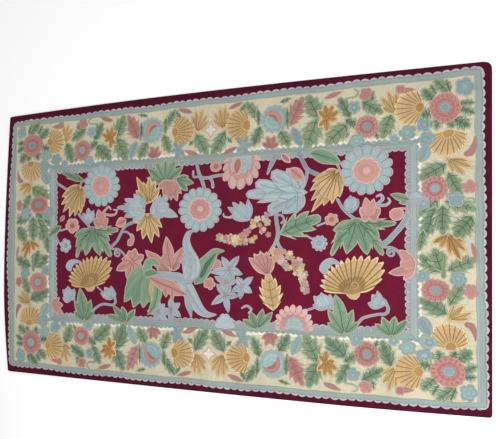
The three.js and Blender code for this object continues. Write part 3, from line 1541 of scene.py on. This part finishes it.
def border_star(x: float, y: float, radius: float, turn: float = 0.0) -> Bloom:
    """A grey-blue bud of the border, seen from above."""
    return Bloom(Rosette((x, y), radius, 5, 0.26, turn), BORDER_BLUE, ((0.36, 5, Yarn.TEAL),))


@dataclass
class Border:
    """The cream border's flowers.

    Attributes:
        corner: Motifs of the top right quarter, mirrored into the other three.
        ends: Motifs of the lower right end, mirrored into the other three.
        middle: Motifs in the middle of the right end, mirrored onto the left one.
    """

    corner: tuple[Bloom | Spray | Figure, ...] = (
        Figure((Rosette((0, 345), 24, petals=4, notch=0.5, pointed=True),),
            Tints(Yarn.BLUSH, Yarn.IVORY, Yarn.BLUSH), 3.0),
        Spray((44, 344), ((6, 376, 20), (8, 398, 22), (26, 414, 22), (48, 416, 22), (60, 396, 20)),
            SOFT_GOLD, core=(42, 352, 12)),
        border_shell(127, 348, 178, 158, (44, 62, 73, 78, 78, 73, 62, 44)),
        border_bud((58, 404), (108, 420), 15), border_leaf((96, 392), (118, 416), 16, 3),
        border_leaf((70, 300), (52, 316), 14, 2), border_leaf((214, 408), (246, 414), 13, 3),
        border_leaf((304, 402), (322, 380), 14, 2), border_leaf((466, 360), (476, 410), 16, 3),
        border_leaf((392, 288), (408, 300), 14, 2), border_leaf((480, 296), (486, 276), 13, 2),
        border_bud((252, 350), (258, 396), 12), border_bud((38, 268), (88, 286), 15),
        border_leaf((50, 340), (8, 270), 44),
        Spray((106, 292), ((82, 314, 18), (122, 320, 18), (136, 288, 18), (114, 260, 18),
            (84, 268, 18)), BORDER_BLUE, core=(106, 292, 14)),
        border_leaf((152, 362), (116, 416), 32), border_leaf((158, 346), (138, 286), 36),
        Figure((Rosette((200, 360), 43, 15, 0.1, 8),), BORDER_BLUE, 5.0,
            ((Rosette((198, 358), 31, 12, 0.08), Yarn.TEAL), (Ribbon(((172, 372, 5), (188, 380, 13),
            (204, 374, 17), (214, 358, 15), (214, 338, 5))), Yarn.ROSE), (Ribbon(((184, 372, 4),
            (198, 368, 8), (206, 354, 4))), Yarn.MADDER))),
        Spray((190, 272), ((164, 292, 18), (176, 310, 18), (200, 310, 18), (214, 290, 18)),
            BORDER_ROSE, core=(190, 290, 12)),
        border_leaf((212, 326), (242, 276), 40),
        Figure((Blade((252, 332), (278, 270), 32),), BORDER_BLUE, 3.4),
        Figure((Blade((244, 334), (284, 416), 60, 5, notch=0.5),), BORDER_ROSE, 3.4),
        border_leaf((148, 396), (152, 346), 20, 3), border_leaf((236, 392), (238, 330), 14, 3),
        border_leaf((328, 344), (298, 416), 50, 4), border_leaf((326, 352), (292, 270), 58, 4),
        Spray((348, 346), ((322, 372, 22), (344, 390, 22), (368, 386, 22), (386, 366, 22),
            (378, 340, 22), (352, 306, 24), (326, 322, 22)), AMBER, core=(350, 350, 18)),
        border_bud((340, 404), (392, 419), 15), border_leaf((414, 342), (382, 400), 38),
        border_leaf((408, 332), (350, 276), 50, 4), border_leaf((396, 342), (438, 316), 30),
        stem((400, 396), (424, 400), (434, 412), (422, 420), width=5, tints=BORDER_GREEN),
        border_star(424, 372, 19, 18), Bloom(Rosette((455, 404), 19, 5, 0.22, 15), BORDER_ROSE),
        border_leaf((442, 388), (498, 350), 38), border_bloom(457, 314, 34),
        border_leaf((522, 348), (498, 278), 42),
        Spray((532, 346), ((494, 366, 20), (494, 394, 22), (510, 412, 22), (532, 402, 22)),
            SOFT_GOLD, core=(526, 354, 12)),
        border_shell(600, 352, 176, 158, (40, 56, 68, 74, 74, 68, 58, 40), 12),
        border_bud((530, 404), (580, 402), 15), Bloom(Rosette((544, 406), 13, 4, 0.2), BORDER_ROSE),
        border_star(562, 290, 22), border_star(602, 308, 22, 30), border_star(606, 268, 20),
        border_star(430, 276, 21, 12), border_star(528, 274, 15, 40),
        border_leaf((638, 332), (630, 292), 28), border_leaf((626, 366), (598, 402), 34),
        border_leaf((632, 382), (618, 412), 20, 3), border_leaf((666, 384), (626, 424), 34),
        border_leaf((668, 384), (654, 420), 16, 3), border_leaf((684, 358), (722, 354), 22),
        border_leaf((684, 346), (724, 326), 24), border_leaf((672, 318), (712, 292), 38),
        border_leaf((662, 316), (670, 292), 24, 3), border_leaf((622, 336), (592, 330), 32),
        border_bloom(653, 347, 41, 16), border_star(700, 397, 25, 36),
    )
    ends: tuple[Bloom | Spray | Figure, ...] = (
        border_shell(660, -290, 92, 158, (42, 56, 68, 74, 72, 60, 44), 12),
        Spray((658, -210), ((672, -170, 20), (698, -168, 20), (720, -186, 20), (712, -204, 16)),
            SOFT_GOLD),
        Figure((Ribbon(((698, -220, 12), (712, -226, 18), (720, -244, 12), (722, -264, 4))),),
            BORDER_ROSE, 2.4),
        Figure((Blade((592, -206), (614, -258), 34),), BORDER_BLUE, 3.4),
        border_star(612, -272, 18, 20), border_leaf((658, -200), (592, -160), 48, 4),
        border_leaf((656, -178), (692, -116), 38), border_bloom(627, -135, 33),
        Bloom(Rosette((712, -136), 19, 5, 0.22, 15), BORDER_ROSE), border_star(600, -96, 18),
        border_star(680, -104, 22, 20),
    )
    middle: tuple[Bloom | Spray | Figure, ...] = (
        border_leaf((642, -88), (594, -44), 42, 4), border_leaf((644, -86), (626, -26), 40, 4),
        border_leaf((652, -82), (724, -52), 42, 4),
        Figure((Ribbon(((646, -98, 12), (648, -70, 9), (650, -40, 7))),), BORDER_GREEN, 2.6),
        Spray((658, 12), ((618, -14, 20), (638, -26, 20), (664, -44, 20), (690, -60, 22),
            (704, -34, 20), (700, -8, 18)), AMBER),
        border_bud((716, -8), (725, -58), 13), border_leaf((640, 112), (588, 66), 44, 4),
        border_leaf((630, 92), (602, 6), 46, 5), border_leaf((648, 96), (646, 12), 44, 5),
        border_leaf((650, 104), (724, 74), 40, 4), border_leaf((720, 62), (676, 6), 50, 5),
        border_leaf((600, 30), (592, -30), 26, 3),
        stem((704, 104), (718, 104), (722, 92), (710, 86), width=5, tints=BORDER_GREEN),
        border_star(672, 116, 18), border_star(590, 108, 20, 30),
    )

    def draw(self, pattern: Pattern) -> None:
        """Works the border's flowers on the pattern, quarter by quarter."""
        for flip_x in (-1, 1):
            pattern.flip = (flip_x, 1)
            self.work(pattern, self.middle)
            for flip_y in (-1, 1):
                pattern.flip = (flip_x, flip_y)
                self.work(pattern, self.corner)
                self.work(pattern, self.ends)
        pattern.flip = (1, 1)

    def work(self, pattern: Pattern, motifs: Iterable[Bloom | Spray | Figure]) -> None:
        """Works some motifs, the leaves among them as a part of their own.

        Args:
            pattern: The pattern.
            motifs: The motifs.
        """
        for motif in motifs:
            green = motif.tints is BORDER_GREEN
            pattern.part = Part.BORDER_LEAVES if green else Part.BORDER_FLOWERS
            motif.draw(pattern)


# The bands and grounds


def rectangle(half: Point) -> np.ndarray:
    """The corners of a rectangle about the middle, from its half sizes."""
    x, y = half
    return np.array([[-x, -y], [x, -y], [x, y], [-x, y]], float)


def rounded(sides: Sequence[Sequence[Point]], step: float) -> np.ndarray:
    """A closed outline of smooth sides, each of which starts where the one before it ends."""
    return np.vstack([along(side, step)[:-1] for side in sides])


def spaced(side: Sequence[Point] | np.ndarray, pitch: float) -> np.ndarray:
    """Evenly spaced points along a line, from its start to before its end.

    Args:
        side: The points that the line goes through.
        pitch: About how far the spaced points lie apart.

    Returns:
        The spaced points, one a row.
    """
    curve = along(side, 4.0)
    walked = np.append(0.0, np.cumsum(np.linalg.norm(np.diff(curve, axis=0), axis=1)))
    count = round(walked[-1] / pitch)
    stops = np.arange(count) / count * walked[-1]
    return np.column_stack([np.interp(stops, walked, curve[:, axis]) for axis in (0, 1)])


@dataclass
class Bands:
    """The hem, the guard bands with their scallops, and the two grounds.

    Attributes:
        guard: The line of the outer guard's scallop tips, side by side anticlockwise.
        ground: The edge of the cream ground, side by side anticlockwise.
        scallop: The radius, pitch and edge row of the outer guard's scallops.
        small_scallop: Those of the inner guard's scallops on the field's side.
        pearl: Those on the border's side, where the edge row is ivory and lies outside them.
        hem_gap: How far inside the solid's rim the hem's wool starts.
        guard_gap: How far inside its scallops' tips the outer guard's ground starts.
    """

    guard: tuple[tuple[Point, ...], ...] = (
        ((-757, -437), (-400, -445), (0, -447), (450, -447), (757, -441)),
        ((757, -441), (750, 0), (745, 447)),
        ((745, 447), (400, 447), (0, 445), (-400, 442), (-748, 438)),
        ((-748, 438), (-762, 200), (-768, 100), (-770, -50), (-766, -200), (-757, -437)),
    )
    ground: tuple[tuple[Point, ...], ...] = (
        ((-733, -417), (-400, -423), (0, -425), (450, -426), (726, -421)),
        ((726, -421), (724, 0), (722, 424)),
        ((722, 424), (400, 425), (0, 423), (-400, 420), (-729, 417)),
        ((-729, 417), (-735, 150), (-737, -50), (-733, -417)),
    )
    scallop: tuple[float, float, float] = (14.0, 22.5, 5.6)
    small_scallop: tuple[float, float, float] = (10.5, 17.5, 4.2)
    pearl: tuple[float, float, float] = (8.5, 15.5, 8.0)
    hem_gap: float = 1.6
    guard_gap: float = 7.5

    def band(self, pattern: Pattern, outline: np.ndarray, yarn: Yarn, inset: float,
             placed: bool = False) -> None:
        """Lays a band's ground, with rows that follow its outline.

        Args:
            pattern: The pattern.
            outline: The band's outer edge.
            yarn: Its yarn.
            inset: How far in from the edge the row runs that the others follow.
            placed: Whether the outline is on the cloth already.
        """
        loop = shrink(anticlockwise(outline), inset)
        loop = np.vstack([loop, loop[:1]])
        pattern.lay(outline, yarn, 1.4, Grain(loop[0], path=loop), placed)

    def hem(self, pattern: Pattern) -> None:
        """Lays the plum hem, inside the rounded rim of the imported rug."""
        pattern.part = Part.HEM
        places = [vertex.co.to_2d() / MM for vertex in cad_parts["rug"].data.vertices]
        corners = [tuple(places[i]) for i in convex_hull_2d(places)]
        sides = [np.array(side) for side in zip(corners, corners[1:] + corners[:1])]
        rim = np.vstack([start + (end - start) * np.arange(0, 1, 0.2)[:, None]
                         for start, end in sides])
        outline = shrink(anticlockwise(rim), self.hem_gap)
        self.band(pattern, outline, Yarn.PLUM, inset=6.0, placed=True)

    def outer_guard(self, pattern: Pattern) -> None:
        """Lays the outer guard, its scallops edged in a paler yarn."""
        pattern.part = Part.OUTER_GUARD
        radius, pitch, edge = self.scallop
        for side in self.guard:
            places = spaced(side, pitch)
            ahead = places[-1] - places[0]
            inward = np.array([-ahead[1], ahead[0]]) / np.linalg.norm(ahead)
            for number, place in enumerate(places):
                # The first scallop of each side sits in its corner
                at = place + inward * radius if number else place - np.sign(place) * radius * 1.1
                self.disc(pattern, at, radius, Yarn.LILAC)
                self.disc(pattern, at, radius - edge, Yarn.MIST)
        tips = anticlockwise(rounded(self.guard, 8.0))
        self.band(pattern, shrink(tips, self.guard_gap), Yarn.MIST, inset=7.0)

    def grounds(self, pattern: Pattern) -> None:
        """Lays the cream ground, the inner guard and the crimson ground."""
        pattern.part = Part.BORDER
        pattern.lay(rounded(self.ground, 12.0), Yarn.CREAM, 1.6)
        radius, pitch, edge = self.pearl
        half = (INNER_HALF[0] - 2, INNER_HALF[1] - 2)
        self.dots(pattern, half, (radius + edge, pitch), Yarn.IVORY)
        pattern.part = Part.INNER_GUARD
        self.dots(pattern, half, (radius, pitch), Yarn.MIST)
        pattern.lay(rectangle(INNER_HALF), Yarn.MIST, 1.4)
        pattern.part = Part.FIELD
        pattern.lay(rectangle(FIELD_HALF), Yarn.CRIMSON, 2.0)
        pattern.part = Part.INNER_GUARD
        radius, pitch, edge = self.small_scallop
        half = (FIELD_HALF[0] + 3.5, FIELD_HALF[1] + 3.5)
        self.dots(pattern, half, (radius, pitch), Yarn.LILAC)
        self.dots(pattern, half, (radius - edge, pitch), Yarn.MIST)
        outer = rectangle(INNER_HALF)
        inner = rectangle((FIELD_HALF[0] + 6, FIELD_HALF[1] + 6))
        for side in range(4):
            ends = [side, (side + 1) % 4]
            middle = (outer[ends] + inner[ends]) / 2
            run = float(np.linalg.norm(middle[1] - middle[0])) / 2
            grain = Grain(middle.mean(0), side * math.pi / 2, run)
            strip = np.vstack([outer[ends], inner[ends[::-1]]])
            pattern.lay(strip, Yarn.MIST, 1.0, grain)

    def disc(self, pattern: Pattern, at: np.ndarray, radius: float, yarn: Yarn) -> None:
        """Lays one round dot."""
        turns = np.arange(13) / 13 * 2 * math.pi
        pattern.lay(at + radius * np.stack([np.cos(turns), np.sin(turns)], 1), yarn, 0.7)

    def dots(self, pattern: Pattern, half: Point, size: Point, yarn: Yarn) -> None:
        """Lays a row of round dots along a rectangle.

        Args:
            pattern: The pattern.
            half: The rectangle's half sizes.
            size: The dots' radius and pitch.
            yarn: Their yarn.
        """
        corners = rectangle(half)
        for start, end in zip(corners, np.roll(corners, -1, axis=0)):
            for place in spaced((start, end), size[1]):
                self.disc(pattern, place, size[0], yarn)

    def draw(self, pattern: Pattern) -> None:
        """Lays all bands and grounds."""
        self.hem(pattern)
        self.outer_guard(pattern)
        self.grounds(pattern)


# The meshes


# The most pairs of a corner and a cell that are tested at once
MOST_PAIRS = 4_000_000

# How near two points of the cut merge, and the least area of a cell, in millimetres
CUT_REACH = 0.02
LEAST_AREA = 1e-4

# How far a rim's inner point may stray, as a share of its width, and how upright a face may stand
MOST_STRAY = 1.8
LEAST_UP = 0.02

# The mark of a vein's points in the layer that darkens rims with painted shade, where a rim's own
# mark is 1
VEIN_MARK = 0.4


@dataclass
class Stitching:
    """The layer of wool: it turns a pattern into one closed piece for each part and yarn.

    Attributes:
        pattern: The finished pattern.
    """

    pattern: Pattern

    def owners(self, middles: np.ndarray) -> np.ndarray:
        """Finds the topmost patch at some points.

        Args:
            middles: The points, one a row.

        Returns:
            The patch's number for each point, or -1 where there is none.
        """
        order = np.argsort(middles[:, 0])
        across = middles[order, 0]
        owner = np.full(len(middles), -1)
        for number, patch in enumerate(self.pattern.patches):
            low, high = patch.outline.min(0), patch.outline.max(0)
            first, last = np.searchsorted(across, (low[0], high[0]))
            near = order[first:last]
            near = near[(middles[near, 1] >= low[1]) & (middles[near, 1] <= high[1])]
            for part in np.array_split(near, 1 + len(near) * len(patch.outline) // MOST_PAIRS):
                owner[part[covers(patch.outline, middles[part])]] = number
        return owner

    @staticmethod
    def borders(corners: np.ndarray, owner: np.ndarray) -> np.ndarray:
        """Finds the sides of cells where two patches meet, or a patch and the outside.

        Args:
            corners: The three corners of each cell.
            owner: The patch of each cell.

        Returns:
            The sides, each as the numbers of its two points.
        """
        sides = np.sort(corners[:, [[0, 1], [1, 2], [2, 0]]].reshape(-1, 2), axis=1)
        pairs, spot = np.unique(sides, axis=0, return_inverse=True)
        spot = spot.ravel()
        least = np.full(len(pairs), owner.max() + 1)
        most = np.full(len(pairs), -2)
        np.minimum.at(least, spot, np.repeat(owner, 3))
        np.maximum.at(most, spot, np.repeat(owner, 3))
        return pairs[(least != most) | (np.bincount(spot) == 1)]

    def cells(self) -> tuple[np.ndarray, np.ndarray, np.ndarray]:
        """Cuts the cloth along every outline that shows, and finds each cell's topmost patch.

        Returns:
            The points, the three corners of each cell, and the number of its patch.
        """
        points = np.vstack([patch.outline for patch in self.pattern.patches])
        loops = []
        first = 0
        for patch in self.pattern.patches:
            steps = np.arange(len(patch.outline))
            loops.append(first + np.stack([steps, np.roll(steps, -1)], 1))
            first += len(steps)
        edges = np.vstack(loops)
        for _ in range(2):
            spots = [Vector(point) for point in points]
            cut = delaunay_2d_cdt(spots, edges.tolist(), [], 0, CUT_REACH)
            places = np.array([tuple(v) for v in cut[0]])
            corners = np.array(cut[2])
            owner = self.owners(places[corners].mean(1))
            used, edges = np.unique(self.borders(corners, owner), return_inverse=True)
            points = places[used]
            edges = edges.reshape(-1, 2)
        side_a = places[corners[:, 1]] - places[corners[:, 0]]
        side_b = places[corners[:, 2]] - places[corners[:, 0]]
        area = np.abs(side_a[:, 0] * side_b[:, 1] - side_a[:, 1] * side_b[:, 0]) / 2
        keep = (owner >= 0) & (area > LEAST_AREA)
        return places, corners[keep], owner[keep]

    def piece(self, name: str, places: np.ndarray, corners: np.ndarray,
              owner: np.ndarray) -> bpy.types.Object:
        """Builds one closed piece of stitching, with a sunk rim round each patch.

        Args:
            name: The piece's name.
            places: The points of the cloth.
            corners: The corners of the piece's cells.
            owner: The patch of each cell.

        Returns:
            The piece's object.
        """
        bm = bmesh.new()
        lay = bm.faces.layers.float_vector.new("lay")
        run = bm.faces.layers.float.new("run")
        shade = bm.faces.layers.float.new("shade")
        rim = bm.verts.layers.float.new("rim")
        verts: dict[tuple[int, int], bmesh.types.BMVert] = {}
        rims: dict[float, list[bmesh.types.BMFace]] = defaultdict(list)
        for number in np.unique(owner):
            patch = self.pattern.patches[number]
            mine = corners[owner == number]
            lays, runs = patch.grain.at(places[mine].mean(1))
            for trio, way, half in zip(mine, lays, runs):
                for i in trio:
                    if (number, i) not in verts:
                        verts[number, i] = bm.verts.new((*places[i] * MM, PILE_ROOT))
                face = bm.faces.new([verts[number, i] for i in trio])
                face[lay] = (way[0] * MM, way[1] * MM, way[2])
                face[run] = half * MM
                face[shade] = patch.shade
                rims[patch.rim].append(face)
        bmesh.ops.recalc_face_normals(bm, faces=bm.faces[:])
        for face in bm.faces:
            if face.normal.z < 0:
                face.normal_flip()
        self.raise_pile(bm, rims, rim)
        mesh = bpy.data.meshes.new(name)
        bm.to_mesh(mesh)
        bm.free()
        return add_object(name, mesh)

    def raise_pile(self, bm: bmesh.types.BMesh, rims: dict[float, list[bmesh.types.BMFace]],
                   rim: bmesh.types.BMLayerItem) -> None:
        """Raises flat patches into closed ones, and draws the rim of each one down.

        Args:
            bm: The mesh, with its flat patches facing up.
            rims: The patches' faces, by the width of the rim.
            rim: The layer that marks the rim's points, which the wool darkens as painted shade.
        """
        for width, faces in rims.items():
            raised = bmesh.ops.extrude_face_region(bm, geom=faces, use_keep_orig=True)["geom"]
            tops = [item for item in raised if isinstance(item, bmesh.types.BMFace)]
            points = [item for item in raised if isinstance(item, bmesh.types.BMVert)]
            bmesh.ops.reverse_faces(bm, faces=faces)
            for vert in points:
                vert.co.z = PILE_RIM
                vert[rim] = 1.0 if width else VEIN_MARK
            if not width:
                continue
            inset = bmesh.ops.inset_region(bm, faces=tops, thickness=width * MM,
                                           use_boundary=True, use_even_offset=True,
                                           depth=PILE_TOP - PILE_RIM)
            for face in tops:
                for vert in face.verts:
                    vert[rim] = 0.0
            self.settle(inset["faces"], tops, rim, width * MM)

    def settle(self, ring: list[bmesh.types.BMFace], tops: list[bmesh.types.BMFace],
               rim: bmesh.types.BMLayerItem, width: float) -> None:
        """Draws the inner points of a sunk rim back where they went too far for the patch.

        Args:
            ring: The rim's faces.
            tops: The faces inside the rim.
            rim: The layer that marks the rim's outer points.
            width: The rim's width in metres.
        """
        outer = {}
        for edge in {edge for face in ring for edge in face.edges}:
            first, last = edge.verts
            if first[rim] != last[rim]:
                inner, edge_point = (first, last) if last[rim] else (last, first)
                outer[inner] = edge_point.co.copy()
        for inner, start in outer.items():
            step = inner.co.xy - start.xy
            if step.length > MOST_STRAY * width:
                inner.co.xy = start.xy + step * (MOST_STRAY * width / step.length)
        faces = ring + tops
        for _ in range(5):
            for face in faces:
                face.normal_update()
            faces = [face for face in faces if face.normal.z < LEAST_UP]
            for inner in {vert for face in faces for vert in face.verts if vert in outer}:
                inner.co.xy = (inner.co.xy + outer[inner].xy) / 2
            faces = list({face for bad in faces for vert in bad.verts for face in vert.link_faces
                          if vert in outer})

    def build(self) -> list[bpy.types.Object]:
        """Builds every piece of stitching.

        Returns:
            The pieces.
        """
        places, corners, owner = self.cells()
        log.info("the pattern's %d patches are cut into %d cells",
                 len(self.pattern.patches), len(corners))
        groups: dict[tuple[Part, Yarn], list[int]] = defaultdict(list)
        for cell, number in enumerate(owner):
            patch = self.pattern.patches[number]
            groups[patch.part, patch.yarn].append(cell)
        wools = {yarn: yarn.value.material(yarn.name.lower()) for yarn in Yarn}
        pieces = []
        for part, yarn in sorted(groups, key=lambda kind: (kind[0].value, kind[1].name)):
            chosen = np.array(groups[part, yarn])
            name = f"{part.value}_{yarn.name.lower()}"
            piece = self.piece(name, places, corners[chosen], owner[chosen])
            piece.data.materials.append(wools[yarn])
            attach(piece, "root")
            pieces.append(piece)
            log.info("%s has %d faces", name, len(piece.data.polygons))
        return pieces


def add_object(name: str, mesh: bpy.types.Mesh) -> bpy.types.Object:
    """Adds a mesh to the scene as an object at the origin."""
    thing = bpy.data.objects.new(name, mesh)
    bpy.context.scene.collection.objects.link(thing)
    return thing


@dataclass
class Cloth:
    """The cotton cloth that carries the stitching, its rim bound in plum wool.

    Attributes:
        flat: The size that the cloth was cut to, in metres; not used.
    """

    flat: Point = (1.524, 0.914)

    def build(self) -> bpy.types.Object:
        """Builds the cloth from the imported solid, cut off just under the pile.

        Returns:
            The cloth's object.
        """
        bm = bmesh.new()
        bm.from_mesh(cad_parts["rug"].data)
        bmesh.ops.remove_doubles(bm, verts=bm.verts[:], dist=1e-6)
        geom = bm.verts[:] + bm.edges[:] + bm.faces[:]
        bmesh.ops.bisect_plane(bm, geom=geom, plane_co=(0, 0, CLOTH_TOP), plane_no=(0, 0, 1),
                               clear_outer=True, dist=1e-7)
        open_edges = [edge for edge in bm.edges if edge.is_boundary]
        bmesh.ops.holes_fill(bm, edges=open_edges)
        bmesh.ops.recalc_face_normals(bm, faces=bm.faces[:])
        for face in bm.faces:
            face.material_index = 1 if face.normal.z < -0.9 else 0
        mesh = bpy.data.meshes.new("cloth")
        bm.to_mesh(mesh)
        bm.free()
        cloth = add_object("cloth", mesh)
        binding = Wool("431024", Slot.CRIMSON, shadow=0.0, coiled=True)
        cloth.data.materials.append(binding.material("binding"))
        cloth.data.materials.append(Cotton().material())
        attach(cloth, "root")
        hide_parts("rug")
        return cloth


# The room


@dataclass
class Studio:
    """A plain pale floor, soft light, and the camera at the photograph's angle.

    Attributes:
        place: Where the camera stands, in metres.
        right: The direction of the picture's right side.
        up: The direction of the picture's top.
        lens: The focal length.
        sensor: The sensor's width.
        shift: How far the picture is shifted, as shares of its width.
        lamps: The square lamps, each with its name, its place, its side and its power in watts.
        floor_size: Half the floor's side.
        floor_grey: How light the floor is.
        daylight: The strength of the light from all round.
    """

    place: tuple[float, float, float] = (0.4047, -0.0629, 1.1174)
    right: tuple[float, float, float] = (0.9641, 0.00458, -0.26551)
    up: tuple[float, float, float] = (-0.00222, 0.99996, 0.00918)
    lens: float = 28.01
    sensor: float = 36.0
    shift: Point = (0.02448, 0.07872)
    lamps: tuple[tuple[str, tuple[float, float, float], float, float], ...] = (
        ("key", (1.25, -0.7, 1.8), 1.5, 56.0),
        ("fill", (-1.4, 1.2, 2.2), 2.2, 16.0),
    )
    floor_size: float = 6.0
    floor_grey: float = 0.94
    daylight: float = 0.45

    def camera(self) -> None:
        """Adds the camera."""
        data = bpy.data.cameras.new("camera")
        data.lens = self.lens
        data.sensor_width = self.sensor
        data.shift_x, data.shift_y = self.shift
        camera = bpy.data.objects.new("camera", data)
        right, up = Vector(self.right), Vector(self.up)
        axes = Matrix((right, up, right.cross(up))).transposed()
        camera.matrix_world = Matrix.Translation(self.place) @ axes.to_4x4()
        bpy.context.scene.collection.objects.link(camera)
        bpy.context.scene.camera = camera

    def floor(self) -> None:
        """Adds the floor."""
        bm = bmesh.new()
        bmesh.ops.create_grid(bm, x_segments=1, y_segments=1, size=self.floor_size)
        mesh = bpy.data.meshes.new("floor")
        bm.to_mesh(mesh)
        bm.free()
        floor = add_object("floor", mesh)
        board = Board("floor")
        board.shader.inputs["Base Color"].default_value = (*3 * (self.floor_grey,), 1)
        board.shader.inputs["Roughness"].default_value = 1.0
        floor.data.materials.append(board.material)

    def lamp(self, name: str, place: tuple[float, float, float], size: float,
             power: float) -> None:
        """Adds one soft square lamp that faces the rug.

        Args:
            name: The lamp's name.
            place: Where it hangs.
            size: The length of its side.
            power: Its power in watts.
        """
        data = bpy.data.lights.new(name, "AREA")
        data.size = size
        data.energy = power
        lamp = bpy.data.objects.new(name, data)
        lamp.location = place
        lamp.rotation_euler = Vector(place).to_track_quat("Z", "Y").to_euler()
        bpy.context.scene.collection.objects.link(lamp)

    def build(self) -> None:
        """Adds the camera, the floor and the light."""
        self.camera()
        self.floor()
        for lamp in self.lamps:
            self.lamp(*lamp)
        world = bpy.data.worlds.new("room")
        world.use_nodes = True
        background = world.node_tree.nodes["Background"]
        background.inputs["Color"].default_value = (1, 1, 1, 1)
        background.inputs["Strength"].default_value = self.daylight
        bpy.context.scene.world = world
        bpy.context.scene.view_settings.view_transform = "Standard"


def main() -> None:
    """Builds the rug and its room."""
    logging.basicConfig(level=logging.INFO, format="%(name)s: %(message)s")
    Studio().build()
    pattern = Pattern()
    for part in (Bands(), Border(), Vines(), Leaves(), Shells(), Sprigs(), Flowers(), Stars(),
                 Bird()):
        part.draw(pattern)
        log.info("%s drawn, %d patches so far", type(part).__name__, len(pattern.patches))
    pieces = Stitching(pattern).build()
    cloth = Cloth()
    slab = cloth.build()


if __name__ == "__main__":
    main()
